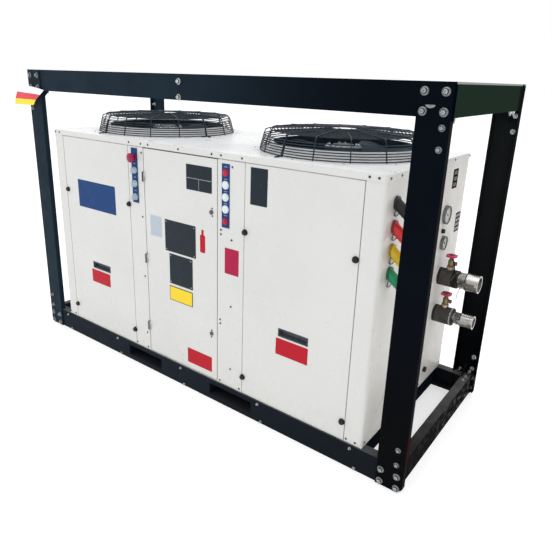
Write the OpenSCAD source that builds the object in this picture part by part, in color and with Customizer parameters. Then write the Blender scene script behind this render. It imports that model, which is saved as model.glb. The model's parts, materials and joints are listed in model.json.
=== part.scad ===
// Air cooled water chiller: a white sheet-metal cabinet with two roof fans,
// carried in a black bolted channel frame with fork pockets.
// Millimetres. Origin: middle of the frame's footprint at floor level.
// +X runs along the long side to the water end, -Y is the service front, +Z is up.

/* [Frame] */
// Overall length of the frame
frame_length = 2340; // [2000:1:2800]
// Overall depth of the frame
frame_depth = 884; // [760:1:1100]
// Overall height of the frame
frame_height = 1500; // [1400:1:1800]
// Plate thickness of every channel
plate = 6; // [4:0.5:10]
// Width of a post across its web
post_width = 111; // [80:1:150]
// Depth of a post's flanges
post_depth = 26; // [20:1:60]
// Height of the base and top beams
beam_height = 107; // [95:1:140]
// Flange depth of the front and rear beams
beam_flange = 42; // [30:1:60]
// Flange depth of the end beams
end_beam_flange = 39; // [30:1:60]
// Setback of a base end beam's web from the frame's end
base_end_setback = 20; // [8:1:30]
// Cut across a post's lower outer corner
post_chamfer = 20; // [8:1:26]
// Width of an inner cross member
cross_width = 40; // [30:1:50]
// Width of an outer cross member
outer_cross_width = 60; // [40:1:90]
// Setback of an outer cross member's web from the cabinet's end
outer_cross_setback = 14; // [5:1:40]
// How much nearer to the middle than a quarter of the cabinet's length the inner cross members stand
cross_inset = 12.5; // [5:0.5:25]
// Leg of a corner gusset
gusset_leg = 55; // [30:1:80]

/* [Fork pockets] */
// Clear width of a fork pocket
fork_width = 256; // [180:1:270]
// Clear height of a fork pocket
fork_height = 58; // [40:1:66]
// Gap between a pocket and the cross member outside it
fork_gap = 28; // [10:1:50]
// Floor of the pocket above the ground
fork_floor = 26; // [18:1:28]
// Wall of a pocket tube
fork_wall = 5; // [3:0.5:8]

/* [Cabinet] */
// Setback of the cabinet's ends from the frame's ends
end_setback = 185; // [150:1:230]
// Setback of the cabinet's front from the frame's front
front_setback = 12; // [8:1:30]
// Setback of the cabinet's rear from the frame's rear
rear_setback = 6; // [2:1:30]
// Top of the roof above the ground
roof_top = 1197; // [1150:1:1250]
// Depth of the roof's folded skirt
roof_skirt = 26; // [15:1:40]
// Sheet thickness
sheet = 2; // [1.5:0.1:3]
// Depth of a panel's folded edges
panel_depth = 18; // [15:1:25]
// Radius of the cabinet's upright corners
corner_radius = 15; // [8:1:25]
// Gap between two panels
seam = 4; // [3:0.5:6]
// Distance from the middle to the inner panel seams
inner_seam = 367; // [350:1:380]
// Width of an end sheet's return onto the front
end_return = 82; // [60:1:110]
// Thickness of the floor tray
tray_thickness = 3; // [2:0.5:5]
// Section of the uprights behind the seams
upright_width = 44; // [30:1:60]
// Depth of those uprights
upright_depth = 24; // [15:1:40]

/* [Rear coils] */
// Depth of a condenser coil
coil_depth = 80; // [60:1:100]
// Setback of a coil's fins from the cabinet's rear
fin_setback = 12; // [6:1:20]
// Depth of a coil's fins
fin_depth = 14; // [8:1:20]
// Number of fins on one coil
fin_count = 72; // [40:1:90]
// Width of the mullion between the coils
mullion_width = 80; // [50:1:110]
// Depth of the mullion
mullion_depth = 30; // [20:1:40]

/* [Electrical door] */
// Left edge of the door opening
door_left = -254; // [-270:1:-230]
// Right edge of the door opening
door_right = 216; // [200:1:240]
// Depth of the door pan
door_depth = 16; // [12:1:18]
// Running gap around the door
door_gap = 5; // [5:0.5:8]
// Gap over the door, under the roof's skirt
door_head_gap = 6; // [5.5:0.5:10]
// Depth of the enclosure behind the door
enclosure_depth = 200; // [120:1:260]
// Radius of the hinge barrels
hinge_radius = 6; // [5:0.5:8]
// Length of a hinge
hinge_length = 46; // [36:1:60]
// Width of a hinge leaf
leaf_width = 12; // [10:1:24]
// Thickness of a hinge leaf
leaf_thickness = 3; // [2:0.5:4]
// Heights of the hinges
hinge_heights = [256, 623, 1031];
// Heights of the quarter-turn locks
lock_heights = [349, 932];

/* [Fans] */
// Distance from a fan's axis to the cabinet's end
fan_from_end = 425; // [405:1:450]
// Gap between a collar's flange and the coils
collar_to_coil = 8; // [5:1:20]
// Width of a collar's flange on the roof
collar_flange = 16; // [10:1:24]
// Thickness of the collar's wall
collar_wall = 10; // [6:1:14]
// Height of the collar over the roof
collar_rise = 36; // [20:1:45]
// Depth of the collar under the roof
collar_drop = 95; // [80:1:120]
// Drop of the blades' upper edges below the collar's rim
rotor_drop = 8; // [4:1:20]
// Gap between a fan's hub and its motor
hub_gap = 6; // [5:0.5:10]
// Running gap between the blade tips and the collar
tip_gap = 8; // [5:0.5:12]
// Number of blades
blade_count = 5; // [3:1:7]
// Chord of a blade at its root
root_chord = 95; // [60:1:105]
// Chord of a blade at its tip
tip_chord = 215; // [120:1:240]
// Pitch of a blade in degrees
blade_pitch = 25; // [15:1:30]
// Thickness of a blade
blade_thickness = 4; // [3:0.5:6]
// Camber radius of a blade
blade_camber = 320; // [250:1:600]
// Forward sweep of a blade's tip in degrees
blade_sweep = 12; // [0:1:20]
// Height of the blades along the axis
blade_height = 78; // [60:1:84]
// Radius of the fan's hub
hub_radius = 82; // [70:1:95]
// Height of the fan's hub
hub_height = 62; // [50:1:70]
// Radius of the motor shaft
shaft_radius = 12; // [8:1:16]
// Radius of the motor under the hub
motor_radius = 70; // [55:1:80]

/* [Fan guards] */
// Gap between a guard and the roof's front edge
guard_margin = 72; // [60:1:100]
// How far a guard reaches beyond the inside of its collar
guard_overhang = 60; // [50:1:70]
// How far a guard's side leans in from roof to shoulder
guard_taper = 20; // [10:1:26]
// Depth of the rounded shoulder between a guard's side and top
guard_shoulder = 22; // [16:1:26]
// Radius of the guard's innermost ring
guard_middle = 60; // [45:1:75]
// Height of the guard's shoulder
guard_height = 92; // [70:1:110]
// Rise of the guard's top from shoulder to middle
guard_crown = 14; // [0:1:25]
// Thickness of the guard's wires
wire = 4; // [3:0.5:6]
// Number of ribs
rib_count = 16; // [8:2:20]
// Number of rings on the guard's top
top_rings = 17; // [8:1:18]
// Number of rings on the guard's side
side_rings = 7; // [2:1:7]
// Length of a guard's bent feet
foot_length = 28; // [15:1:40]

/* [Water and power end] */
// Height of the upper water stub
upper_stub_height = 657; // [600:1:700]
// Height of the lower water stub
lower_stub_height = 474; // [430:1:500]
// Water stubs behind the frame's middle plane
stub_back = 228; // [180:1:260]
// Outer radius of the insulated stubs
stub_radius = 40; // [32:1:45]
// Length of the insulated stubs
stub_length = 90; // [70:1:96]
// Outer radius of the upper coupling's cup
upper_coupling_radius = 40; // [34:1:44]
// Outer radius of the lower coupling's cup
lower_coupling_radius = 31; // [26:1:34]
// Distance of a drain valve's stem from the cabinet's end
valve_along = 46; // [40:1:50]
// Radius of a drain valve's stem
stem_radius = 4; // [3:0.5:6]
// Wall of a coupling's cup
coupling_wall = 7; // [5:0.5:9]
// Length of a coupling
coupling_length = 92; // [84:1:94]
// Depth of a coupling's open cup
cup_depth = 44; // [30:1:46]
// Radius of a valve handwheel
wheel_radius = 27; // [20:1:32]
// Height of a handwheel's middle over its stub's axis
wheel_height = 104; // [98:1:125]
// Radius of a power inlet's flange
inlet_flange_radius = 25; // [22:1:30]
// Radius of a power inlet's sleeve
inlet_radius = 20; // [16:1:22]
// Length of a power inlet's sleeve
inlet_length = 92; // [70:1:110]
// Angle of the power inlets below level
inlet_angle = 38; // [20:1:50]
// Height of the top power inlet
inlet_top = 1091; // [1050:1:1110]
// Spacing of the power inlets
inlet_pitch = 88; // [70:1:95]
// Setback of the power inlets from the cabinet's front
inlet_back = 86; // [60:1:100]
// Place behind the middle plane, height and radius of each gauge
gauge_places = [[201, 948, 41], [209, 818, 32]];
// Place behind the middle plane, height and radius of the small cap below the upper gauge
cap_place = [186, 877, 10];

/* [Front fittings] */
// Radius of a panel's quarter-turn knob
knob_radius = 13; // [10:1:20]
// How far a panel knob stands out
knob_height = 11; // [8:1:22]
// Heights of the panel knobs
knob_heights = [193, 879];
// Distance of a knob from the outer seam
outer_knob_inset = 13; // [8:1:40]
// Distance of a knob from the inner seam
inner_knob_inset = 5; // [3:1:40]
// Height of the knob on the water end
end_knob_height = 189; // [150:1:220]
// Knob on the water end behind the frame's middle plane
end_knob_back = 188; // [150:1:260]
// Width of a recessed panel grip
grip_width = 143; // [100:1:170]
// Height of a recessed panel grip
grip_height = 31; // [25:1:40]
// Depth of a recessed panel grip
grip_depth = 24; // [15:1:30]
// Height of the grips' middle
grip_level = 482; // [440:1:520]
// Width of a control strip's plate
strip_width = 43; // [36:1:50]
// Middle of the switch strip
left_strip_x = -318; // [-330:1:-305]
// Bottom and top of the switch strip
left_strip_span = [895, 1160];
// Middle of the lamp strip
right_strip_x = 264; // [250:1:280]
// Bottom and top of the lamp strip
right_strip_span = [878, 1152];
// Height of the red main switch
main_switch_level = 1115; // [1100:1:1125]
// Radius of the red main switch
main_switch_radius = 22; // [15:1:24]
// How far the red main switch stands out
main_switch_height = 34; // [20:1:40]
// Height of the top selector
selector_level = 1054; // [1040:1:1065]
// Spacing of the selectors
selector_pitch = 65; // [50:1:70]
// Radius of a selector's bezel
selector_radius = 16.5; // [14:0.5:18]
// Height of the top lamp
lamp_level = 1115; // [1100:1:1125]
// Spacing of the lamps
lamp_pitch = 52; // [45:1:56]
// Radius of a white lamp
white_lamp_radius = 16; // [12:0.5:18]
// Radius of a red lamp
red_lamp_radius = 14; // [11:0.5:18]

/* [Hidden] */
$fn = 48;
fit = 0.3;                       // seat gap between two pieces that rest on each other
shaft_fit = 0.1;                 // radial gap of a shaft in its bore
half_length = frame_length / 2;
half_depth = frame_depth / 2;
cabinet_half = half_length - end_setback;
cabinet_length = 2 * cabinet_half;
outer_seam = cabinet_half - end_return;
cross_pitch = cabinet_half / 2 - cross_inset;
outer_cross_x = cabinet_half - outer_cross_setback - outer_cross_width / 2;
fork_offset = cross_pitch - cross_width / 2 - fork_gap - fork_wall - fork_width / 2;
front_y = -half_depth + front_setback;
rear_y = half_depth - rear_setback;
coil_front = rear_y - coil_depth;
tray_top = beam_height + tray_thickness;
panel_bottom = tray_top + fit;
panel_top = roof_top - roof_skirt - seam;
panel_back = front_y + panel_depth;
wall_top = roof_top - sheet - fit;
hinge_y = front_y - hinge_radius;
door_bottom = tray_top + door_gap;
door_top = roof_top - roof_skirt - door_head_gap;
collar_outside = collar_to_coil + collar_flange + collar_wall;
guard_base_radius = (coil_front - front_y - guard_margin - collar_outside + guard_overhang) / 2;
guard_top_radius = guard_base_radius - guard_taper;
guard_slope = guard_crown / guard_top_radius;
guard_top_edge = guard_top_radius - guard_shoulder;
guard_swell = 2;
collar_inner = guard_base_radius - guard_overhang;
fan_offset = cabinet_half - fan_from_end;
fan_back = front_y + guard_margin + guard_base_radius;
rotor_middle = roof_top + collar_rise - rotor_drop - blade_height / 2;
rotor_bottom = rotor_middle - hub_height / 2;
motor_top = rotor_bottom - hub_gap;
shroud_bottom = roof_top - sheet - collar_drop;
rail_height = 8;
motor_bottom = shroud_bottom + rail_height;
stub_start = cabinet_half;
coupling_start = stub_start + stub_length;
grip_x = (inner_seam + outer_seam) / 2;
valve_x = stub_start + valve_along;
inlet_flange_depth = 8;

black = [0.05, 0.055, 0.065];
white = [0.88, 0.87, 0.84];
steel = [0.7, 0.7, 0.7];

// shared shapes

// Points of an arc about a centre, from one angle to another.
function arc(cx, cy, r, from, to, steps = 6) =
  [for (i = [0:steps]) let (a = from + (to - from) * i / steps) [cx + r * cos(a), cy + r * sin(a)]];

// A channel's section: web along X at y = 0, flanges towards +Y.
module channel_section(width, depth) {
  polygon([[0, 0], [width, 0], [width, depth], [width - plate, depth], [width - plate, plate],
    [plate, plate], [plate, depth], [0, depth]]);
}

// A channel along X with its web upright at y = 0 and its flanges towards +Y.
module channel_x(length, height, depth) {
  translate([-length / 2, 0, 0])
    rotate([90, 0, 90])
      linear_extrude(length)
        polygon([[0, 0], [depth, 0], [depth, plate], [plate, plate], [plate, height - plate],
          [depth, height - plate], [depth, height], [0, height]]);
}

// A sheet pan: front sheet at y = 0, folded edges towards +Y.
module pan(width, height, depth) {
  difference() {
    cube([width, depth, height]);
    translate([sheet, sheet, sheet])
      cube([width - 2 * sheet, depth, height - 2 * sheet]);
  }
}

// Puts the child at both ends of the unit.
module both_ends() {
  children();
  mirror([1, 0, 0]) children();
}

// A disc along -Y from the front face.
module front_disc(x, z, r, h, from = 0) {
  translate([x, front_y - from, z])
    rotate([90, 0, 0])
      cylinder(r = r, h = h);
}

// A disc along +X from the water end.
module end_disc(y, z, r, h) {
  translate([cabinet_half, y, z])
    rotate([0, 90, 0])
      cylinder(r = r, h = h);
}

// frame

// A post at +X with its web at y = 0; its inner flange is coped to let the beams in,
// and its lower outer corner is cut off.
module post() {
  difference() {
    translate([half_length - post_width, 0, 0])
      linear_extrude(frame_height)
        channel_section(post_width, post_depth);
    for (z = [-1, frame_height - beam_height - fit])
      translate([half_length - post_width - 1, plate, z])
        cube([plate + 2, post_depth, beam_height + fit + 1]);
    translate([half_length, post_depth / 2, 0])
      rotate([0, 45, 0])
        cube([post_chamfer * sqrt(2), 2 * post_depth, post_chamfer * sqrt(2)], center = true);
  }
}

module front_posts() {
  color(black)
    both_ends()
      translate([0, -half_depth, 0]) post();
}

module rear_posts() {
  color(black)
    both_ends()
      mirror([0, 1, 0])
        translate([0, -half_depth, 0]) post();
}

// A front or rear beam that ends just short of end beams with this setback.
module long_beam(setback) {
  length = frame_length - 2 * (setback + end_beam_flange + 1);
  translate([0, -half_depth + plate, 0])
    channel_x(length, beam_height, beam_flange);
}

module top_beam_front() {
  color(black)
    translate([0, 0, frame_height - beam_height]) long_beam(plate);
}

module top_beam_rear() {
  color(black)
    mirror([0, 1, 0])
      translate([0, 0, frame_height - beam_height]) long_beam(plate);
}

module fork_cuts() {
  both_ends()
    translate([fork_offset - fork_width / 2 - fork_wall - fit, -half_depth - 1, fork_floor - fork_wall - fit])
      cube([fork_width + 2 * (fork_wall + fit), frame_depth + 2, fork_height + 2 * (fork_wall + fit)]);
}

module base_beam_front() {
  color(black)
    difference() {
      long_beam(base_end_setback);
      fork_cuts();
    }
}

module base_beam_rear() {
  color(black)
    difference() {
      mirror([0, 1, 0]) long_beam(base_end_setback);
      fork_cuts();
    }
}

// An end beam at +X between the posts' webs, with its own web outwards.
module end_beam(setback) {
  length = frame_depth - 2 * plate;
  translate([half_length - setback, 0, 0])
    rotate([0, 0, 90])
      channel_x(length, beam_height, end_beam_flange);
}

// A cross member fits between the flanges of the long beams.
module cross_member(x, width) {
  length = frame_depth - 4 * plate;
  height = beam_height - 2 * (plate + fit);
  translate([x + width / 2, 0, plate + fit])
    rotate([0, 0, 90])
      channel_x(length, height, width);
}

module top_cross_beams() {
  color(black)
    translate([0, 0, frame_height - beam_height]) {
      both_ends() end_beam(plate);
      cross_member(0, cross_width);
    }
}

module base_end_beams() {
  color(black)
    both_ends() end_beam(base_end_setback);
}

module base_cross_members() {
  color(black) {
    for (i = [-1:1])
      cross_member(i * cross_pitch, cross_width);
    both_ends()
      cross_member(outer_cross_x, outer_cross_width);
  }
}

module fork_pockets() {
  color(black)
    both_ends()
      translate([fork_offset - fork_width / 2, -half_depth + plate, fork_floor])
        difference() {
          translate([-fork_wall, 0, -fork_wall])
            cube([fork_width + 2 * fork_wall, frame_depth - 2 * plate, fork_height + 2 * fork_wall]);
          translate([0, -1, 0])
            cube([fork_width, frame_depth, fork_height]);
        }
}

// Gusset plates in the end frames, between the end beams and the posts' webs.
module corner_gussets() {
  color(black)
    both_ends()
      for (side = [0, 1], level = [0, 1]) {
        setback = level == 0 ? base_end_setback : plate;
        mirror([0, side, 0])
          translate([half_length - setback - end_beam_flange, -half_depth + plate, level * frame_height])
            mirror([0, 0, level])
              translate([0, 0, beam_height])
                rotate([90, 0, 90])
                  linear_extrude(plate)
                    polygon([[0, 0], [gusset_leg, 0], [0, gusset_leg]]);
      }
}

// cabinet

module floor_tray() {
  inset = 1;
  color(white)
    translate([-cabinet_half + inset, front_y + inset, beam_height])
      cube([cabinet_length - 2 * inset, rear_y - front_y - 2 * inset, tray_thickness]);
}

// The roof's plan with rounded corners.
module roof_plan(grow) {
  x = cabinet_half + grow;
  front = front_y - grow;
  back = rear_y + grow;
  r = corner_radius + grow;
  polygon(concat(arc(x - r, back - r, r, 0, 90), arc(-x + r, back - r, r, 90, 180),
    arc(-x + r, front + r, r, 180, 270), arc(x - r, front + r, r, 270, 360)));
}

module roof_panel() {
  color(white)
    difference() {
      translate([0, 0, roof_top - roof_skirt])
        linear_extrude(roof_skirt) roof_plan(sheet + fit);
      translate([0, 0, roof_top - roof_skirt - 1])
        linear_extrude(roof_skirt - sheet + 1) roof_plan(fit);
      both_ends()
        translate([fan_offset, fan_back, roof_top - roof_skirt])
          cylinder(r = collar_inner + collar_wall + fit, h = roof_skirt + 1);
    }
}

// A front panel between two seams, with the slot for its grip.
module front_panel() {
  width = outer_seam - inner_seam - seam;
  color(white)
    difference() {
      translate([inner_seam + seam / 2, front_y, panel_bottom])
        pan(width, panel_top - panel_bottom, panel_depth);
      translate([grip_x - grip_width / 2, front_y - 1, grip_level - grip_height / 2])
        cube([grip_width, sheet + 2, grip_height]);
    }
}

module front_panel_right() {
  front_panel();
}

module front_panel_left() {
  mirror([1, 0, 0]) front_panel();
}

module front_strips() {
  height = panel_top - panel_bottom;
  left = -inner_seam + seam / 2;
  right = inner_seam - seam / 2;
  color(white) {
    translate([left, front_y, panel_bottom])
      pan(door_left - door_gap / 2 - left, height, panel_depth);
    translate([door_right + door_gap / 2, front_y, panel_bottom])
      pan(right - door_right - door_gap / 2, height, panel_depth);
  }
}

// Uprights behind the panel seams, from the tray to the roof.
module front_uprights() {
  color(white)
    for (x = [-outer_seam, -inner_seam, inner_seam, outer_seam])
      translate([x - upright_width / 2, panel_back + fit, panel_bottom])
        cube([upright_width, upright_depth, wall_top - panel_bottom]);
}

// An end sheet at +X that wraps the front and rear corners.
module end_sheet() {
  r = corner_radius;
  lip = outer_seam + seam / 2;
  outer_path = concat([[lip, front_y]], arc(cabinet_half - r, front_y + r, r, 270, 360),
    arc(cabinet_half - r, rear_y - r, r, 0, 90), [[lip, rear_y]]);
  inner_path = concat([[lip, rear_y - sheet]],
    arc(cabinet_half - r, rear_y - r, r - sheet, 90, 0),
    arc(cabinet_half - r, front_y + r, r - sheet, 360, 270), [[lip, front_y + sheet]]);
  translate([0, 0, panel_bottom])
    linear_extrude(wall_top - panel_bottom)
      polygon(concat(outer_path, inner_path));
}

module end_panel_right() {
  color(white) end_sheet();
}

module end_panel_left() {
  color(white)
    mirror([1, 0, 0]) end_sheet();
}

module rear_mullion() {
  color(white)
    translate([-mullion_width / 2, rear_y - mullion_depth, panel_bottom])
      cube([mullion_width, mullion_depth, wall_top - panel_bottom]);
}

// Finned coils fill the rear on both sides of the mullion: a comb section with one tooth a fin.
module coil() {
  start = mullion_width / 2 + fit;
  length = outer_seam - start - fit;
  pitch = length / fin_count;
  fin = pitch * 0.45;
  tip = rear_y - fin_setback;
  root = tip - fin_depth;
  teeth = [for (i = [0:fin_count - 1]) let (x = start + i * pitch)
    each [[x, root], [x, tip], [x + fin, tip], [x + fin, root]]];
  translate([0, 0, panel_bottom])
    linear_extrude(wall_top - panel_bottom)
      polygon(concat([[start + length, root], [start + length, coil_front], [start, coil_front]], teeth));
}

module condenser_coils() {
  color(steel)
    both_ends() coil();
}

// electrical compartment

module electrical_enclosure() {
  left = door_left - door_gap / 2 - sheet;
  right = door_right + door_gap / 2 + sheet;
  bottom = panel_bottom;
  top = panel_top;
  color(white)
    translate([left, panel_back + fit, bottom])
      difference() {
        cube([right - left, enclosure_depth, top - bottom]);
        translate([sheet, -1, sheet])
          cube([right - left - 2 * sheet, enclosure_depth - sheet + 1, top - bottom - 2 * sheet]);
      }
}

module electrical_door() {
  left = door_left + door_gap / 2;
  right = door_right - door_gap / 2;
  color(white)
    translate([left, front_y, door_bottom])
      pan(right - left, door_top - door_bottom, door_depth);
}

// The fixed half of each hinge: leaf, lower barrel and pin.
module hinge_leaves() {
  color(black)
    for (z = hinge_heights) {
      translate([door_left, hinge_y, z - hinge_length / 2])
        cylinder(r = hinge_radius, h = hinge_length / 2 - fit);
      translate([door_left, hinge_y, z - fit - 1])
        cylinder(r = hinge_radius / 2, h = hinge_length / 2 - 2);
      translate([door_left - leaf_width, front_y - leaf_thickness, z - hinge_length / 2])
        cube([leaf_width, leaf_thickness, hinge_length / 2 - fit]);
    }
}

// The door's half of each hinge: leaf and bored upper barrel.
module door_hinge_leaves() {
  color(black)
    for (z = hinge_heights)
      difference() {
        union() {
          translate([door_left, hinge_y, z + fit])
            cylinder(r = hinge_radius, h = hinge_length / 2 - fit);
          translate([door_left, front_y - leaf_thickness, z + fit])
            cube([leaf_width, leaf_thickness, hinge_length / 2 - fit]);
        }
        translate([door_left, hinge_y, z - 1])
          cylinder(r = hinge_radius / 2 + shaft_fit, h = hinge_length);
      }
}

module door_locks() {
  inset = 34;
  radius = 10;
  height = 4;
  color(steel)
    for (z = lock_heights)
      front_disc(door_right - inset, z, radius, height);
}

// front fittings

// Quarter-turn knobs of the lift-off panels, with a small cap on the water end.
module panel_knobs() {
  flange = 5;
  cap_height = 12;
  outer = outer_seam - outer_knob_inset;
  inner = inner_seam + inner_knob_inset;
  color(black) {
    for (x = [-outer, -inner, inner, outer], z = knob_heights) {
      front_disc(x, z, knob_radius, flange);
      front_disc(x, z, knob_radius * 0.8, knob_height);
    }
    end_disc(end_knob_back, end_knob_height, knob_radius, knob_height);
    end_disc(cap_place[0], cap_place[1], cap_place[2], cap_height);
  }
}

module panel_grips() {
  rim = 3;
  lip = 1.5;
  color(black)
    both_ends()
      translate([grip_x, front_y, grip_level])
        difference() {
          union() {
            translate([-grip_width / 2 + fit, 0, -grip_height / 2 + fit])
              cube([grip_width - 2 * fit, grip_depth, grip_height - 2 * fit]);
            translate([-grip_width / 2 - rim, -lip, -grip_height / 2 - rim])
              cube([grip_width + 2 * rim, lip, grip_height + 2 * rim]);
          }
          translate([-grip_width / 2 + rim, -rim, -grip_height / 2 + rim])
            cube([grip_width - 2 * rim, grip_depth, grip_height - 2 * rim]);
        }
}

// A disc with a domed face, standing out from the front.
module domed_disc(x, z, r, base, rise, from) {
  dome_radius = (r * r + rise * rise) / (2 * rise);
  translate([x, front_y - from, z])
    rotate([90, 0, 0])
      intersection() {
        cylinder(r = r, h = base + rise + 1);
        translate([0, 0, base + rise - dome_radius])
          sphere(r = dome_radius);
      }
}

module strip_plate(x, span) {
  translate([x - strip_width / 2, front_y - sheet, span[0]])
    cube([strip_width, sheet, span[1] - span[0]]);
}

// Plates that carry the switches on the left and the lamps on the right.
module control_strips() {
  color([0.12, 0.25, 0.5]) {
    strip_plate(left_strip_x, left_strip_span);
    strip_plate(right_strip_x, right_strip_span);
  }
}

// A mushroom switch: collar, stem and domed cap.
module main_switch() {
  collar = 5;
  cap = 8;
  rise = 6;
  stem = main_switch_height - cap - rise;
  color([0.7, 0.06, 0.05]) {
    front_disc(left_strip_x, main_switch_level, main_switch_radius * 0.72, collar, sheet);
    front_disc(left_strip_x, main_switch_level, main_switch_radius * 0.5, stem + 1, sheet);
    domed_disc(left_strip_x, main_switch_level, main_switch_radius, cap, rise, sheet + stem);
  }
}

// Three selectors: bezel, round knob and a grip bar across it.
module selector_knobs() {
  bezel = 4;
  knob = 16;
  knob_r = selector_radius - 3;
  bar_width = 8;
  bar_rise = 9;
  color([0.6, 0.62, 0.64])
    for (i = [0:2]) {
      z = selector_level - i * selector_pitch;
      front_disc(left_strip_x, z, selector_radius, bezel, sheet);
      front_disc(left_strip_x, z, knob_r, knob, sheet);
      translate([left_strip_x - bar_width / 2, front_y - sheet - knob - bar_rise, z - knob_r + 0.5])
        cube([bar_width, bar_rise + 1, 2 * knob_r - 1]);
    }
}

// Lamp i of the strip: a flat bezel under a domed lens.
module lamp(i, r, rise) {
  bezel_rim = 2;
  bezel = 3;
  lens = 5;
  z = lamp_level - i * lamp_pitch;
  front_disc(right_strip_x, z, r + bezel_rim, bezel, sheet);
  domed_disc(right_strip_x, z, r, lens, rise, sheet);
}

module red_lamps() {
  rise = 4;
  color([0.7, 0.06, 0.05])
    for (i = [0, 4])
      lamp(i, red_lamp_radius, rise);
}

module white_lamps() {
  rise = 7;
  color([0.85, 0.85, 0.82])
    for (i = [1:3])
      lamp(i, white_lamp_radius, rise);
}

// fans

module at_fan(side) {
  translate([side * fan_offset, fan_back, 0]) children();
}

// A collar through the roof with a flange that lies on it.
module fan_collar() {
  flange_height = 4;
  translate([0, 0, shroud_bottom])
    difference() {
      union() {
        cylinder(r = collar_inner + collar_wall, h = roof_top + collar_rise - shroud_bottom);
        translate([0, 0, roof_top - shroud_bottom])
          cylinder(r = collar_inner + collar_wall + collar_flange, h = flange_height);
      }
      translate([0, 0, -1])
        cylinder(r = collar_inner, h = roof_top + collar_rise - shroud_bottom + 2);
    }
}

module fan_collars() {
  color(white)
    for (side = [-1, 1])
      at_fan(side) fan_collar();
}

// One blade: a cambered shell, pitched about its radius, trimmed to a swept plan and a round tip.
module blade() {
  tip = collar_inner - tip_gap;
  overlap = 10;
  root = hub_radius - overlap;
  steps = 8;
  function station(t) = root + (tip + overlap / 2 - root) * t;
  function edge(t, side) =
    let (r = station(t), half = (root_chord + (tip_chord - root_chord) * t) / 2 / r * 180 / PI,
      a = blade_sweep * t * t + side * half)
    [r * cos(a), r * sin(a)];
  plan = concat([for (i = [0:steps]) edge(i / steps, -1)], [for (i = [steps:-1:0]) edge(i / steps, 1)]);
  intersection() {
    translate([0, 0, rotor_middle - blade_height / 2])
      cylinder(r = tip, h = blade_height);
    translate([0, 0, rotor_middle - blade_height])
      linear_extrude(2 * blade_height) polygon(plan);
    translate([0, 0, rotor_middle])
      rotate([blade_pitch, 0, 0])
        translate([root - 2 * overlap, 0, -blade_camber])
          rotate([0, 90, 0])
            difference() {
              cylinder(r = blade_camber + blade_thickness / 2, h = tip);
              translate([0, 0, -1])
                cylinder(r = blade_camber - blade_thickness / 2, h = tip + 2);
            }
  }
}

module fan() {
  color(black)
    difference() {
      for (i = [0:blade_count - 1])
        rotate([0, 0, i * 360 / blade_count]) blade();
      translate([0, 0, rotor_middle - blade_height])
        cylinder(r = hub_radius, h = 2 * blade_height);
    }
}

// The turning hub that carries the blades, with its cap and its shaft.
module fan_hub() {
  cap = 10;
  shaft_end = 10;
  color(steel) {
    translate([0, 0, rotor_bottom])
      cylinder(r = hub_radius, h = hub_height);
    translate([0, 0, rotor_bottom + hub_height - 1])
      cylinder(r1 = hub_radius * 0.7, r2 = hub_radius * 0.55, h = cap + 1);
    translate([0, 0, motor_bottom + shaft_end])
      cylinder(r = shaft_radius, h = rotor_bottom - motor_bottom);
  }
}

module fan_hub_left() {
  at_fan(-1) fan_hub();
}

module fan_hub_right() {
  at_fan(1) fan_hub();
}

module fan_left() {
  at_fan(-1) fan();
}

module fan_right() {
  at_fan(1) fan();
}

// A motor on two rails that cross under the collar.
module fan_motor() {
  rail = 30;
  rail_offset = 45;
  bore_floor = 5;
  reach = collar_inner + collar_wall;
  for (side = [-1, 1])
    translate([side * rail_offset - rail / 2, -reach, shroud_bottom - rail_height])
      cube([rail, 2 * reach, rail_height - fit]);
  difference() {
    translate([0, 0, shroud_bottom - rail_height + 1])
      cylinder(r = motor_radius, h = motor_top - shroud_bottom + rail_height - 1);
    translate([0, 0, motor_bottom + bore_floor])
      cylinder(r = shaft_radius + shaft_fit, h = hub_height);
  }
}

module fan_motors() {
  color(steel)
    for (side = [-1, 1])
      at_fan(side) fan_motor();
}

// A side rib runs from the roof up and round the shoulder to where the top begins.
module guard_side_rib() {
  knee_in = 4;
  knee_drop = 6;
  knee = [guard_top_radius - knee_in, guard_height - knee_drop];
  bend = [guard_top_radius + guard_swell, guard_height - guard_shoulder];
  outer = [[guard_base_radius, 0], bend, knee, [guard_top_edge, guard_height]];
  inner = [[guard_top_edge, guard_height - wire], knee - [wire, wire], bend - [wire, 0],
    [guard_base_radius - wire, 0]];
  guard_rib(concat(outer, inner));
}

// A top rib runs from the shoulder up to an inner ring.
module guard_top_rib(inner_radius) {
  rise = (guard_top_edge - inner_radius) * guard_slope;
  guard_rib([[guard_top_edge, guard_height], [inner_radius, guard_height + rise],
    [inner_radius, guard_height + rise - wire], [guard_top_edge, guard_height - wire]]);
}

// A flat rib from its outline in radius and height.
module guard_rib(outline) {
  rotate([90, 0, 0])
    translate([0, 0, -wire / 2])
      linear_extrude(wire) polygon(outline);
}

module guard_ring(r, z) {
  translate([0, 0, z])
    rotate_extrude($fn = 96)
      translate([r - wire / 2, 0]) square(wire);
}

// The nearly flat top: rings under ribs, of which every second one stops half way in.
module fan_guard_top() {
  outer = guard_top_edge - wire;
  sink = wire * 1.6;
  color(black)
    translate([0, 0, roof_top]) {
      for (i = [0:rib_count - 1])
        rotate([0, 0, (i + 0.5) * 360 / rib_count])
          guard_top_rib(i % 2 == 0 ? guard_middle : outer * 0.55);
      for (i = [0:top_rings]) {
        r = guard_middle + (outer - guard_middle) * i / top_rings;
        guard_ring(r, guard_height + (guard_top_edge - r) * guard_slope - sink);
      }
    }
}

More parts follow.
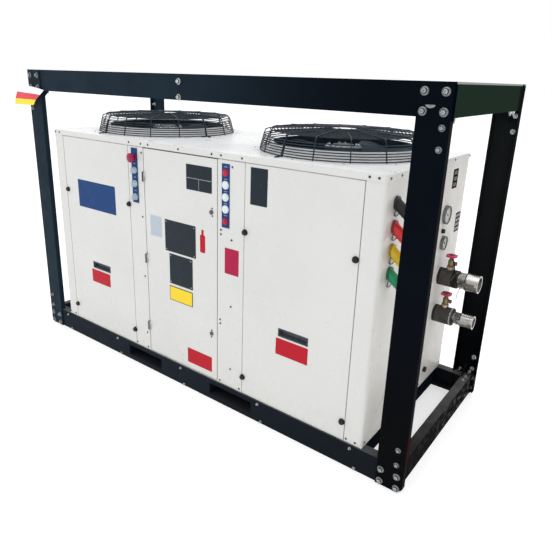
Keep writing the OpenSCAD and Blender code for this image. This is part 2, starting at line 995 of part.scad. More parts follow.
// The leaning side: rings inside ribs, with a bent foot on every fourth rib.
module fan_guard_side() {
  straight = guard_height - guard_shoulder;
  lean = guard_taper - guard_swell;
  ring_lift = wire * 0.6;
  translate([0, 0, roof_top]) {
    for (i = [0:rib_count - 1])
      rotate([0, 0, (i + 0.5) * 360 / rib_count]) {
        guard_side_rib();
        if (i % 4 == 3)
          translate([guard_base_radius - wire, -foot_length, 0])
            cube([wire, foot_length, wire]);
      }
    for (i = [0:side_rings - 1])
      guard_ring(guard_base_radius - wire - lean * i / side_rings, ring_lift + straight * i / side_rings);
  }
}

module fan_guard_left() {
  at_fan(-1) fan_guard_top();
}

module fan_guard_right() {
  at_fan(1) fan_guard_top();
}

module fan_guard_sides() {
  color(black)
    for (side = [-1, 1])
      at_fan(side) fan_guard_side();
}

// power and water end

// Places the child at power inlet i: origin on the end panel, +X outwards.
module at_inlet(i) {
  translate([cabinet_half, front_y + inlet_back, inlet_top - i * inlet_pitch]) children();
}

module power_inlet_flanges() {
  color(black)
    for (i = [0:3])
      at_inlet(i)
        rotate([0, 90, 0])
          cylinder(r = inlet_flange_radius, h = inlet_flange_depth);
}

// A sleeve that points down and outwards, cut flat where it meets its flange.
module inlet_sleeve(i) {
  block = 2 * inlet_length;
  at_inlet(i)
    difference() {
      rotate([0, 90 + inlet_angle, 0])
        translate([0, 0, -inlet_radius])
          cylinder(r = inlet_radius, h = inlet_length + inlet_radius);
      translate([inlet_flange_depth - block, -block / 2, -block / 2])
        cube(block);
    }
}

module power_inlet_black() {
  color([0.08, 0.08, 0.09]) inlet_sleeve(0);
}

module power_inlet_red() {
  color([0.7, 0.05, 0.05]) inlet_sleeve(1);
}

module power_inlet_yellow() {
  color([0.9, 0.75, 0.05]) inlet_sleeve(2);
}

module power_inlet_green() {
  color([0.05, 0.55, 0.3]) inlet_sleeve(3);
}

// Round gauges: a case with a raised rim round a sunk face.
module gauges() {
  case = 14;
  face = 10;
  rim = 4;
  color(steel)
    for (place = gauge_places)
      translate([cabinet_half, place[0], place[1]])
        rotate([0, 90, 0])
          difference() {
            cylinder(r = place[2], h = case);
            translate([0, 0, face])
              cylinder(r = place[2] - rim, h = case);
          }
}

module water_stubs() {
  color([0.1, 0.1, 0.1])
    for (z = [upper_stub_height, lower_stub_height])
      translate([stub_start, stub_back, z])
        rotate([0, 90, 0])
          cylinder(r = stub_radius, h = stub_length);
}

// A cam coupling: nipple against the stub, wrench hex, then an open cup with a closed cam arm on each side.
module coupling(r) {
  nipple = 10;
  hex = 24;
  groove = 5;
  rim = 6;
  rim_rise = 1.5;
  arm_width = 14;
  arm_depth = 8;
  arm_start = nipple + 4;
  arm_stop = 14;
  arm_end = coupling_length - arm_stop;
  cup_start = nipple + hex + groove;
  difference() {
    union() {
      cylinder(r = r * 0.7, h = coupling_length - 2);
      translate([0, 0, nipple])
        cylinder(r = r * 0.98, h = hex, $fn = 6);
      translate([0, 0, cup_start])
        cylinder(r = r - rim_rise, h = coupling_length - cup_start);
      translate([0, 0, coupling_length - rim])
        cylinder(r = r, h = rim);
      for (side = [-1, 1])
        translate([-arm_width / 2, side * r - arm_depth / 2, arm_start])
          cube([arm_width, arm_depth, arm_end - arm_start]);
    }
    translate([0, 0, coupling_length - cup_depth])
      cylinder(r = r - coupling_wall, h = cup_depth + 1);
  }
}

module couplings() {
  color(steel) {
    translate([coupling_start, stub_back, upper_stub_height])
      rotate([0, 90, 0]) coupling(upper_coupling_radius);
    translate([coupling_start, stub_back, lower_stub_height])
      rotate([0, 90, 0]) coupling(lower_coupling_radius);
  }
}

// Brass drain valve on top of a stub: boss, body, side spout and bonnet with a bore for the stem.
module drain_valve() {
  sink = 4;
  seat = stub_radius - sink;
  boss_radius = 14.5;
  boss = 22;
  body_radius = 13;
  body = 26;
  neck_radius = 9;
  spout_radius = 9;
  spout = 26;
  spout_rise = boss + body / 2;
  wheel_gap = 12;
  bonnet = wheel_height - wheel_gap;
  stem_depth = 22;
  difference() {
    union() {
      translate([0, 0, seat])
        cylinder(r = boss_radius, h = boss);
      translate([0, 0, seat + boss - 1])
        cylinder(r = body_radius, h = body);
      translate([0, 0, seat + boss - sink])
        cylinder(r = neck_radius, h = bonnet - seat - boss + sink);
      translate([0, 0, seat + spout_rise])
        rotate([0, 90, 0])
          cylinder(r = spout_radius, h = spout);
    }
    translate([0, 0, bonnet - stem_depth])
      cylinder(r = stem_radius + shaft_fit, h = 2 * stem_depth);
    translate([-2 * boss_radius, 0, 0])
      rotate([0, 90, 0])
        cylinder(r = stub_radius + fit, h = 4 * boss_radius);
  }
}

module drain_valves() {
  color([0.7, 0.52, 0.25])
    for (z = [upper_stub_height, lower_stub_height])
      translate([valve_x, stub_back, z]) drain_valve();
}

// Handwheel with its stem: four-lobed rim, hub and spokes.
module handwheel() {
  rim = 7;
  thick = 8;
  lobe = 9;
  lobe_drop = 0.5;
  dip = 4;
  hub = 9;
  spoke = 6;
  stem_below = 30;
  ring = wheel_radius - dip;
  translate([0, 0, wheel_height - stem_below])
    cylinder(r = stem_radius, h = stem_below + dip);
  translate([0, 0, wheel_height - thick / 2 - 1])
    cylinder(r = hub, h = thick + 2);
  translate([0, 0, wheel_height - thick / 2]) {
    difference() {
      union() {
        cylinder(r = ring, h = thick);
        for (i = [0:3])
          rotate([0, 0, 45 + i * 90])
            translate([wheel_radius - lobe, 0, lobe_drop])
              cylinder(r = lobe, h = thick - 2 * lobe_drop);
      }
      translate([0, 0, -1])
        cylinder(r = ring - rim, h = thick + 2);
    }
    for (i = [0:3])
      rotate([0, 0, 45 + i * 90])
        translate([hub - 3, -spoke / 2, 1])
          cube([ring - rim - hub + 5, spoke, thick - 2]);
  }
}

module handwheel_upper() {
  color([0.7, 0.06, 0.08])
    translate([valve_x, stub_back, upper_stub_height]) handwheel();
}

module handwheel_lower() {
  color([0.7, 0.06, 0.08])
    translate([valve_x, stub_back, lower_stub_height]) handwheel();
}

front_posts();
rear_posts();
top_beam_front();
top_beam_rear();
top_cross_beams();
base_beam_front();
base_beam_rear();
base_end_beams();
base_cross_members();
fork_pockets();
corner_gussets();
floor_tray();
roof_panel();
front_panel_left();
front_panel_right();
front_strips();
front_uprights();
end_panel_left();
end_panel_right();
rear_mullion();
condenser_coils();
electrical_enclosure();
electrical_door();
hinge_leaves();
door_hinge_leaves();
door_locks();
panel_knobs();
panel_grips();
control_strips();
main_switch();
selector_knobs();
red_lamps();
white_lamps();
fan_collars();
fan_guard_left();
fan_guard_right();
fan_guard_sides();
fan_left();
fan_right();
fan_hub_left();
fan_hub_right();
fan_motors();
power_inlet_flanges();
power_inlet_black();
power_inlet_red();
power_inlet_yellow();
power_inlet_green();
gauges();
water_stubs();
couplings();
drain_valves();
handwheel_upper();
handwheel_lower();
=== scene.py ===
"""Looks of an air cooled water chiller that stands in a black lifting frame.

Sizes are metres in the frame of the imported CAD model: +X runs along the long side to the water
end, -Y is the service front and +Z is up.
"""
import json
import math

import bmesh
import bpy
from mathutils import Matrix, Vector


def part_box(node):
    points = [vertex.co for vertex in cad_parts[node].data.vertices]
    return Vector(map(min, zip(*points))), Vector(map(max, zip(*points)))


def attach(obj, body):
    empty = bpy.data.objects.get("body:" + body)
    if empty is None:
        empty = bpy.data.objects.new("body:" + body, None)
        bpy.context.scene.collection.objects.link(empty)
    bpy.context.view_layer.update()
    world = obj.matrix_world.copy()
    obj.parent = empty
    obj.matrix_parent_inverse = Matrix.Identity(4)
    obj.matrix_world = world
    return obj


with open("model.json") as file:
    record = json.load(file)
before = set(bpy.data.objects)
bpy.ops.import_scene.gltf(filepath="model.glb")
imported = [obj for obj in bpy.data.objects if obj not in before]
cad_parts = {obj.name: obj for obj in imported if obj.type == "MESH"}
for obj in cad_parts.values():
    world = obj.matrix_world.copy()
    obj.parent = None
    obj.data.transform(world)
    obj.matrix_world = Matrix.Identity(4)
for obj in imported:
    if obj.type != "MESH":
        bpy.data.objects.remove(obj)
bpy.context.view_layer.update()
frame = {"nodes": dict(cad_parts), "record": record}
nodes = frame["nodes"]
scene = bpy.context.scene

# Places and radii of the CAD forms that carry the pieces
FRONT = -0.430
STRIP_FACE = -0.432
REAR = 0.436
END = 0.985
SKIRT_FRONT = -0.4323
SKIRT_REAR = 0.4383
SKIRT_END = 0.9873
ROOF = 1.197
POST_FACE = 0.442
POST_INSIDE = 0.436
BEAM_FACE = 0.436
FAN_X = 0.560
FAN_Y = 0.012
COLLAR_INSIDE = 0.310
STUB_Y = 0.228
UPPER_STUB_Z = 0.657
LOWER_STUB_Z = 0.474
STUB_END = 1.075
STUB_RADIUS = 0.040
VALVE_X = 1.031
GROOVE_X = 1.1115
HINGE_X = -0.254
GUARD_RADIUS = 0.370
INLET_HEIGHTS = (1.091, 1.003, 0.915, 0.827)

FRONT_NORMAL = (0, -1, 0)
REAR_NORMAL = (0, 1, 0)
RIGHT_NORMAL = (1, 0, 0)
LEFT_NORMAL = (-1, 0, 0)
UP = (0, 0, 1)
DOWN = (0, 0, -1)


# Materials

class Look:
    """A material under construction, with short hands for the nodes it uses."""

    def __init__(self, name, metal=0.0, shine=0.5):
        self.mat = bpy.data.materials.new(name)
        self.mat.use_nodes = True
        self.tree = self.mat.node_tree
        self.shader = self.tree.nodes["Principled BSDF"]
        self.shader.inputs["Metallic"].default_value = metal
        self.shader.inputs["Specular IOR Level"].default_value = shine
        self.place = self.node("ShaderNodeTexCoord").outputs["Object"]
        self.tone = None

    def node(self, kind, inputs=(), **settings):
        """Adds a node, with inputs given as pairs of a socket's key and what feeds it."""
        made = self.tree.nodes.new(kind)
        for key, value in settings.items():
            setattr(made, key, value)
        for key, value in inputs:
            self.feed(made.inputs[key], value)
        return made

    def feed(self, socket, value):
        """Links a node's output to socket, or sets socket to a constant."""
        if isinstance(value, bpy.types.NodeSocket):
            self.tree.links.new(value, socket)
        elif isinstance(value, tuple) and len(value) == 3 and len(socket.default_value) == 4:
            socket.default_value = (*value, 1.0)
        else:
            socket.default_value = value

    def noise(self, scale, detail=3.0, stretch=(1, 1, 1)):
        mapping = self.node("ShaderNodeMapping", (("Vector", self.place), ("Scale", stretch)))
        inputs = (("Vector", mapping.outputs[0]), ("Scale", scale), ("Detail", detail), ("Roughness", 0.6))
        return self.node("ShaderNodeTexNoise", inputs).outputs["Fac"]

    def spread(self, value, low, high, to_low=0.0, to_high=1.0):
        """Eases value from to_low at low to to_high at high, and holds it outside."""
        inputs = (("Value", value), ("From Min", low), ("From Max", high),
                  ("To Min", to_low), ("To Max", to_high))
        return self.node("ShaderNodeMapRange", inputs, interpolation_type="SMOOTHSTEP").outputs["Result"]

    def clouds(self, scale, detail=3.0, to_low=0.0, to_high=1.0):
        """Soft patches between to_low and to_high."""
        return self.spread(self.noise(scale, detail), 0.30, 0.70, to_low, to_high)

    def math(self, operation, first, second=0.0):
        return self.node("ShaderNodeMath", ((0, first), (1, second)), operation=operation).outputs[0]

    def times(self, first, *others):
        for other in others:
            first = self.math("MULTIPLY", first, other)
        return first

    def mix(self, amount, first, second):
        return self.node("ShaderNodeMix", ((0, amount), (6, first), (7, second)), data_type="RGBA").outputs[2]

    def cover(self, amount, colour):
        """Lays colour over the tone so far."""
        self.tone = self.mix(amount, self.tone, colour)

    def axis(self, name):
        return self.node("ShaderNodeSeparateXYZ", ((0, self.place),)).outputs[name]

    def normal(self, name):
        """One part of the surface's normal."""
        normal = self.node("ShaderNodeNewGeometry").outputs["Normal"]
        return self.node("ShaderNodeSeparateXYZ", ((0, normal),)).outputs[name]

    def bent(self):
        """1 on the rounded corners between faces that lie square to the axes, and 0 on those faces."""
        largest = 0.0
        for name in "XYZ":
            largest = self.math("MAXIMUM", largest, self.math("ABSOLUTE", self.normal(name)))
        return self.spread(largest, 0.80, 0.985, 1.0, 0.0)

    def zone(self, **spans):
        """1 inside every span, which is a low and a high coordinate and the ease of its soft ends."""
        ends = []
        for name, (low, high, ease) in spans.items():
            place = self.axis(name)
            ends.append(self.spread(place, low - ease, low + ease))
            ends.append(self.spread(place, high - ease, high + ease, 1.0, 0.0))
        return self.times(*ends)

    def bump(self, height, strength, distance):
        inputs = (("Strength", strength), ("Distance", distance), ("Height", height))
        self.feed(self.shader.inputs["Normal"], self.node("ShaderNodeBump", inputs).outputs["Normal"])

    def done(self, rough):
        self.feed(self.shader.inputs["Base Color"], self.tone)
        self.feed(self.shader.inputs["Roughness"], rough)
        return self.mat


def shade(colour, factor):
    return tuple(channel * factor for channel in colour)


SETTLED_DUST = (0.34, 0.33, 0.31)


def finish(name, colour, rough, vary=0.16, grain=260.0, relief=0.12, dust=0.0, shine=0.5):
    """A weathered one-colour finish: cloudy tone, fine grain, uneven gloss and dust that settles from above.
    """
    look = Look(name, shine=shine)
    look.tone = look.mix(look.clouds(14.0, 4.0), shade(colour, 1.0 - vary), shade(colour, 1.0 + vary))
    fine = look.noise(grain, 2.0)
    look.cover(look.spread(fine, 0.58, 0.80, 0.0, 0.35), shade(colour, 1.0 - 2.0 * vary))
    if dust:
        upward = look.spread(look.normal("Z"), 0.45, 0.95)
        drifts = look.spread(look.noise(22.0), 0.25, 0.75, 0.3, 1.0)
        look.cover(look.times(upward, drifts, dust), SETTLED_DUST)
    look.bump(fine, relief, 0.0006)
    return look.done(look.clouds(35.0, 3.0, rough * 0.82, rough * 1.18))


def frame_paint():
    """Black frame paint: a painted bluish sky reflection to the left, painted highlights on bends and edges,
    dusty on top, grimy and rusty low down.
    """
    look = Look("frame paint")
    across = look.math("ABSOLUTE", look.normal("X"))
    look.feed(look.shader.inputs["Specular IOR Level"], look.spread(across, 0.5, 0.9, 0.03, 0.0))
    # Painted sky reflection: the frame is lighter and bluer towards the left.
    painted_sky_reflection = look.spread(look.axis("X"), -0.30, 0.95, 1.0, 0.0)
    look.tone = look.mix(painted_sky_reflection, (0.0005, 0.0019, 0.0050), (0.0110, 0.0220, 0.0340))
    look.cover(look.spread(look.noise(5.0, 5.0), 0.35, 0.75, 0.0, 0.25), (0.0030, 0.0040, 0.0060))
    low = look.spread(look.axis("Z"), 0.20, 0.95, 0.9, 0.0)
    look.cover(look.times(look.zone(X=(1.00, 1.30, 0.02)), low), (0.0006, 0.0008, 0.0012))
    low_front = look.zone(Z=(-0.05, 0.112, 0.004), X=(-1.06, 1.06, 0.004))
    look.cover(look.times(low_front, 0.75), (0.0075, 0.0108, 0.0150))
    # Painted green reflection on the outer face of the top end beam.
    end_beam_reflection = look.zone(Z=(1.380, 1.520, 0.006), X=(1.130, 1.180, 0.001), Y=(-0.405, 0.60, 0.004))
    look.cover(look.times(end_beam_reflection, look.spread(look.normal("X"), 0.6, 0.9)), (0.0125, 0.0225, 0.0160))
    high = look.spread(look.axis("Z"), 0.25, 0.80, 0.0, 0.9)
    rear_post = look.zone(X=(1.05, 1.30, 0.01), Y=(0.38, 0.60, 0.01))
    look.cover(look.times(rear_post, high), (0.0075, 0.0090, 0.0093))
    endward = look.spread(look.normal("X"), 0.30, 0.60)
    # Painted highlight on the outer face of the front post's flange at the water end.
    post_edge_highlight = look.zone(X=(1.160, 1.30, 0.002), Y=(-0.50, -0.405, 0.004), Z=(-0.05, 1.385, 0.004))
    look.cover(look.times(post_edge_highlight, endward), (0.014, 0.014, 0.015))
    look.cover(look.spread(look.noise(150.0, 2.0), 0.68, 0.82, 0.0, 0.20), (0.030, 0.032, 0.034))
    # Painted highlights on the rounded bends between faces.
    painted_bend_highlight = look.times(look.bent(), look.clouds(6.0, 5.0, 0.25, 0.9))
    look.cover(painted_bend_highlight, (0.070, 0.075, 0.078))
    # Painted highlight along the top edge of the top end beam.
    crest_highlight = look.zone(X=(1.120, 1.30, 0.004), Y=(-0.425, 0.60, 0.004), Z=(1.4932, 1.52, 0.0008))
    crest_highlight = look.times(crest_highlight, look.spread(look.normal("X"), 0.25, 0.50), 0.85)
    look.cover(crest_highlight, (0.30, 0.31, 0.31))
    dust = look.times(look.spread(look.normal("Z"), 0.60, 0.95), look.clouds(9.0, 5.0, 0.45, 1.0))
    flanges = look.zone(Z=(0.098, 0.140, 0.004))
    settled = look.mix(flanges, (0.060, 0.062, 0.062), (0.125, 0.130, 0.134))
    settled = look.mix(look.zone(Z=(-0.05, 0.090, 0.004)), settled, (0.022, 0.024, 0.027))
    look.cover(look.times(dust, 0.80), settled)
    low_end = look.zone(X=(1.075, 1.30, 0.02), Z=(-0.05, 0.115, 0.008), Y=(-0.405, 0.60, 0.010))
    rearward = look.spread(look.axis("Y"), -0.34, 0.35, 0.1, 1.0)
    end_dust = look.mix(rearward, (0.012, 0.010, 0.011), (0.095, 0.096, 0.094))
    look.cover(look.times(low_end, 0.9), look.mix(dust, (0.0105, 0.0098, 0.0108), end_dust))
    blotches = look.spread(look.noise(34.0, 6.0, (1, 0.7, 1.1)), 0.49, 0.64, 0.0, 0.8)
    look.cover(look.times(low_end, blotches, rearward), (0.086, 0.078, 0.076))
    rust = look.spread(look.noise(46.0, 5.0), 0.66, 0.74, 0.0, 0.6)
    look.cover(look.times(look.zone(Z=(-0.05, 0.20, 0.05)), rust), (0.060, 0.026, 0.014))
    scuffed = look.zone(X=(1.160, 1.30, 0.004), Y=(-0.50, -0.380, 0.006), Z=(0.13, 0.250, 0.020))
    scratches = look.spread(look.noise(30.0, 5.0, (1, 1, 0.35)), 0.34, 0.58, 0.1, 0.9)
    look.cover(look.times(scuffed, endward, scratches), (0.040, 0.003, 0.006))
    rough = look.clouds(20.0, 3.0, 0.36, 0.54)
    look.bump(look.noise(320.0, 2.0), 0.08, 0.0008)
    return look.done(look.math("MAXIMUM", rough, look.times(dust, 0.80)))


def cabinet_paint(name, collar=False):
    """Off white powder coat with orange peel, runs, base grime and painted light; a collar is dark as painted
    shade where its fan runs.
    """
    look = Look(name)
    look.tone = look.mix(look.clouds(2.2, 4.0), (0.582, 0.588, 0.570), (0.610, 0.614, 0.598))
    runs = look.spread(look.noise(26.0, 4.0, (1, 1, 0.05)), 0.55, 0.75)
    look.cover(look.times(runs, look.zone(Z=(0.20, 1.19, 0.30)), 0.04), (0.46, 0.44, 0.40))
    low = look.spread(look.axis("Z"), 0.10, 0.30, 1.0, 0.0)
    splash = look.spread(look.noise(30.0, 6.0), 0.45, 0.70)
    look.cover(look.times(low, splash, 0.20), (0.40, 0.37, 0.32))
    look.cover(look.spread(look.noise(160.0, 2.0), 0.74, 0.84, 0.0, 0.07), (0.40, 0.38, 0.34))
    # Painted warm light on the faces towards the water end.
    look.cover(look.spread(look.normal("X"), 0.60, 0.95, 0.0, 0.8), (0.590, 0.566, 0.532))
    # Painted light from above: upward faces are paler.
    painted_top_light = look.spread(look.normal("Z"), 0.30, 0.90)
    look.cover(look.times(painted_top_light, 0.95), (0.885, 0.897, 0.905))
    if collar:
        # Painted light: the collar is paler still, against the shade of the guard's wires.
        look.cover(0.9, (0.920, 0.928, 0.932))
        # Painted shade: the collar is dark inside, where its fan runs.
        across = look.math("SUBTRACT", look.math("ABSOLUTE", look.axis("X")), FAN_X)
        back = look.math("SUBTRACT", look.axis("Y"), FAN_Y)
        square = look.math("ADD", look.times(across, across), look.times(back, back))
        reach = look.math("SQRT", square)
        inside = look.spread(reach, COLLAR_INSIDE + 0.0004, COLLAR_INSIDE + 0.0012, 1.0, 0.0)
        look.cover(inside, (0.012, 0.024, 0.037))
    look.shader.inputs["Coat Weight"].default_value = 0.10
    look.bump(look.noise(420.0, 2.0), 0.05, 0.0006)
    return look.done(look.clouds(12.0, 3.0, 0.26, 0.40))


FIN_PITCH = 0.0042
TUBE_PITCH = 0.0254


def coil_fins():
    """Thin aluminium fins seen edge on, with painted shade between them, crossed by the shadow of the tube
    rows, bent and dusty in places.
    """
    look = Look("coil fins", 0.75)
    sway = look.times(look.math("SUBTRACT", look.noise(9.0), 0.5), 0.004)
    across = look.math("ADD", look.axis("X"), sway)
    fin = look.math("SINE", look.times(across, math.tau / FIN_PITCH))
    row = look.math("SINE", look.times(look.axis("Z"), math.tau / TUBE_PITCH))
    # Painted shade: the gaps between the fins are dark.
    look.tone = look.mix(look.spread(fin, -0.8, 0.6), (0.045, 0.046, 0.048), (0.50, 0.51, 0.52))
    look.cover(look.spread(row, 0.30, 1.0, 0.0, 0.45), (0.030, 0.030, 0.030))
    lint = look.spread(look.noise(24.0, 5.0), 0.52, 0.74, 0.0, 0.55)
    look.cover(lint, (0.20, 0.185, 0.16))
    look.bump(fin, 0.5, 0.0012)
    return look.done(look.spread(lint, 0.0, 0.5, 0.38, 0.75))


def plated(name, colour, rough, dark=0.62, metal=1.0):
    """Plated or cast metal with stains and fine scratches."""
    look = Look(name, metal)
    stains = look.spread(look.noise(70.0, 4.0), 0.40, 0.72)
    look.tone = look.mix(stains, colour, shade(colour, dark))
    scratches = look.noise(600.0, 2.0, (1, 0.12, 1))
    look.cover(look.spread(scratches, 0.60, 0.75, 0.0, 0.30), shade(colour, 0.45))
    look.bump(scratches, 0.10, 0.0004)
    return look.done(look.spread(stains, 0.0, 1.0, rough * 0.8, rough * 1.3))


# Distance of the cam arms' inner faces from the middle of a coupling
CAM_ARM = 0.0405


def coupling_steel():
    """Cast cam couplings: painted light above and painted shade below, with dirty hexes and dark cam arms on
    both sides.
    """
    look = Look("coupling steel", 0.85)
    # Painted light and shade: upward faces bright, downward faces dark.
    upward = look.spread(look.normal("Z"), -0.55, 0.65)
    look.tone = look.mix(upward, (0.17, 0.16, 0.135), (0.74, 0.73, 0.71))
    stains = look.spread(look.noise(48.0, 5.0), 0.52, 0.72, 0.0, 0.75)
    look.cover(stains, (0.10, 0.095, 0.085))
    hexes = look.zone(X=(1.080, GROOVE_X - 0.004, 0.002))
    look.cover(look.times(hexes, 0.55), (0.12, 0.115, 0.10))
    front_arms = look.zone(Y=(0.10, STUB_Y - CAM_ARM, 0.0005))
    rear_arms = look.zone(Y=(STUB_Y + CAM_ARM, 0.36, 0.0005))
    look.cover(look.times(look.math("MAXIMUM", front_arms, rear_arms), 0.8), (0.07, 0.068, 0.062))
    look.bump(look.noise(180.0, 3.0), 0.12, 0.0006)
    return look.done(look.spread(stains, 0.0, 0.75, 0.24, 0.48))


FLANGE_BLACK = (0.012, 0.012, 0.013)
FLANGE_COLOURS = ((0.26, 0.014, 0.014), (0.36, 0.26, 0.010), (0.004, 0.12, 0.055))


def inlet_flanges():
    """Flange plastic in the colour of each inlet's sleeve, from black at the top to green."""
    look = Look("inlet flanges")
    look.tone = FLANGE_BLACK
    for upper, lower, colour in zip(INLET_HEIGHTS, INLET_HEIGHTS[1:], FLANGE_COLOURS):
        middle = (upper + lower) / 2
        look.cover(look.spread(look.axis("Z"), middle - 0.001, middle + 0.001, 1.0, 0.0), colour)
    grain = look.noise(300.0, 2.0)
    look.cover(look.spread(grain, 0.55, 0.80, 0.0, 0.4), (0.02, 0.02, 0.02))
    look.bump(grain, 0.12, 0.0006)
    return look.done(look.clouds(35.0, 3.0, 0.38, 0.52))


BARREL_RADIUS = 0.0056


def hinge_paint():
    """Hinges painted over with the cabinet, with a dark bare line down the barrel."""
    look = Look("hinge paint")
    barrel = look.zone(X=(HINGE_X - BARREL_RADIUS, HINGE_X + BARREL_RADIUS, 0.0004))
    look.tone = look.mix(barrel, (0.596, 0.600, 0.584), (0.030, 0.032, 0.035))
    look.bump(look.noise(420.0, 2.0), 0.05, 0.0006)
    return look.done(look.clouds(12.0, 3.0, 0.30, 0.45))


def grip_plastic():
    """Dark moulded grips whose hollow is painted a little paler than the rim, as painted light against its
    shade.
    """
    look = Look("grip plastic")
    # Painted light: the hollow is paler to offset the shade in it.
    hollow = look.spread(look.axis("Y"), FRONT + 0.0010, FRONT + 0.0040)
    look.tone = look.mix(hollow, (0.016, 0.022, 0.034), (0.072, 0.090, 0.112))
    look.bump(look.noise(260.0, 2.0), 0.12, 0.0006)
    return look.done(look.clouds(35.0, 3.0, 0.40, 0.55))


def print_sheet(name, colour, shine=0.3):
    """Printed or engraved plate stock: even colour with a fine weave, rubbed thin in places."""
    look = Look(name, shine=shine)
    rubbed = look.spread(look.noise(40.0, 5.0), 0.58, 0.78, 0.0, 0.35)
    look.tone = look.mix(rubbed, colour, tuple(0.75 * channel + 0.06 for channel in colour))
    weave = look.noise(900.0, 1.0)
    look.cover(look.spread(weave, 0.55, 0.75, 0.0, 0.25), shade(colour, 0.75))
    look.bump(weave, 0.06, 0.0003)
    return look.done(look.clouds(18.0, 3.0, 0.357, 0.504))


def foam():
    """Closed cell pipe foam with fine pores."""
    look = Look("pipe foam", shine=0.2)
    pores = look.noise(520.0, 3.0)
    look.tone = look.mix(look.clouds(25.0, 4.0), (0.034, 0.031, 0.028), (0.062, 0.056, 0.050))
    look.cover(look.spread(pores, 0.60, 0.75, 0.0, 0.5), (0.006, 0.006, 0.007))
    look.bump(pores, 0.35, 0.0010)
    return look.done(look.clouds(30.0, 3.0, 0.62, 0.82))


def floor_finish():
    """Pale studio floor with a trace of cloud, softly lit from within as a light table is."""
    look = Look("studio floor")
    clouds = look.clouds(0.8, 4.0)
    look.tone = look.mix(clouds, (0.61, 0.61, 0.61), (0.64, 0.64, 0.64))
    look.bump(look.noise(60.0, 2.0), 0.02, 0.001)
    look.shader.inputs["Emission Color"].default_value = (1.0, 1.0, 1.0, 1.0)
    look.shader.inputs["Emission Strength"].default_value = 0.50
    return look.done(look.spread(clouds, 0.0, 1.0, 0.85, 0.95))


BLACK_FRAME = frame_paint()
WHITE_PAINT = cabinet_paint("cabinet paint")
ZINC = plated("zinc plate", (0.46, 0.49, 0.51), 0.32, dark=0.5, metal=0.85)
HEAD_ZINC = plated("bolt head zinc", (0.22, 0.245, 0.26), 0.38, metal=0.65)
DARK_ZINC = plated("dull zinc and painted shade", (0.14, 0.14, 0.14), 0.50)
BRIGHT_ZINC = plated("bright zinc and painted highlight", (0.66, 0.68, 0.69), 0.30, dark=0.7)
BRASS = plated("valve brass", (0.25, 0.185, 0.105), 0.42, dark=0.45)
PALE_BRASS = plated("pale brass", (0.46, 0.41, 0.33), 0.40)
BLACK_PLASTIC = finish("black plastic", (0.008, 0.008, 0.010), 0.48, dust=0.06, shine=0.25)
DARK_PLATE = print_sheet("dark plate", (0.010, 0.018, 0.026), shine=0.15)
RED_PLATE = print_sheet("red plate", (0.42, 0.008, 0.020), shine=0.12)
CRIMSON_PLATE = print_sheet("crimson plate", (0.36, 0.008, 0.052), shine=0.15)
YELLOW_PLATE = print_sheet("yellow plate", (0.80, 0.58, 0.014))
BLUE_PLATE = print_sheet("blue plate", (0.012, 0.050, 0.165), shine=0.08)
PALE_PLATE = print_sheet("pale plate", (0.50, 0.58, 0.68))
PALE_INK = print_sheet("pale ink", (0.40, 0.46, 0.52))
BLACK_INK_AND_SHADE = print_sheet("black ink and painted shade", (0.008, 0.008, 0.009), shine=0.15)
END_INK = print_sheet("end label ink", (0.012, 0.012, 0.012), shine=0.0)
END_GREY = print_sheet("end label grey", (0.16, 0.16, 0.155), shine=0.0)
END_PALE = print_sheet("end label pale", (0.40, 0.40, 0.39), shine=0.0)
DIAL_FACE = print_sheet("dial face", (0.46, 0.46, 0.44))
WIRE = plated("lanyard wire", (0.07, 0.07, 0.07), 0.45)
STRAP = finish("strap webbing", (0.008, 0.008, 0.009), 0.70, grain=700.0, relief=0.4, shine=0.2)
SEAL = finish("seam seal", (0.30, 0.31, 0.30), 0.60)
PALE_SEAL = finish("painted seal", (0.54, 0.545, 0.53), 0.50)
HINGE_PAINT = hinge_paint()
TIE = finish("tie plastic", (0.13, 0.13, 0.125), 0.40, vary=0.06)
TAG_WHITE = finish("tag white", (0.82, 0.85, 0.84), 0.55, vary=0.05, grain=500.0)
TAG_RED = finish("tag red", (0.66, 0.060, 0.080), 0.55, vary=0.08, grain=500.0)
TAG_YELLOW = finish("tag yellow", (0.90, 0.68, 0.040), 0.55, vary=0.06, grain=500.0)

SLOT_LOOKS = {
    "frame_black": BLACK_FRAME,
    "cabinet_white": WHITE_PAINT,
    "coil_fins": coil_fins(),
    "black_plastic": BLACK_PLASTIC,
    "zinc": ZINC,
    "hub_metal": plated("cast hub", (0.22, 0.23, 0.24), 0.46),
    "strip_blue": BLUE_PLATE,
    "red_plastic": finish("red plastic", (0.36, 0.006, 0.040), 0.30, shine=0.3),
    "grey_plastic": finish("grey plastic", (0.42, 0.50, 0.56), 0.30),
    "white_plastic": finish("lamp lens", (0.62, 0.67, 0.70), 0.20, vary=0.08),
    "guard_wire": finish("guard wire", (0.024, 0.036, 0.050), 0.40, shine=0.15),
    "fan_black": finish("fan plastic", (0.010, 0.022, 0.036), 0.50, dust=0.03, shine=0.15),
    "sleeve_black": finish("black sleeve", (0.016, 0.017, 0.019), 0.50, dust=0.04, shine=0.3),
    "sleeve_red": finish("red sleeve", (0.62, 0.022, 0.022), 0.42),
    "sleeve_yellow": finish("yellow sleeve", (0.74, 0.52, 0.012), 0.42),
    "sleeve_green": finish("green sleeve", (0.005, 0.24, 0.11), 0.42),
    "gauge_case": plated("gauge case", (0.22, 0.22, 0.22), 0.36),
    "insulation": foam(),
    "brass": BRASS,
    "wheel_red": finish("wheel paint", (0.50, 0.010, 0.075), 0.32),
}

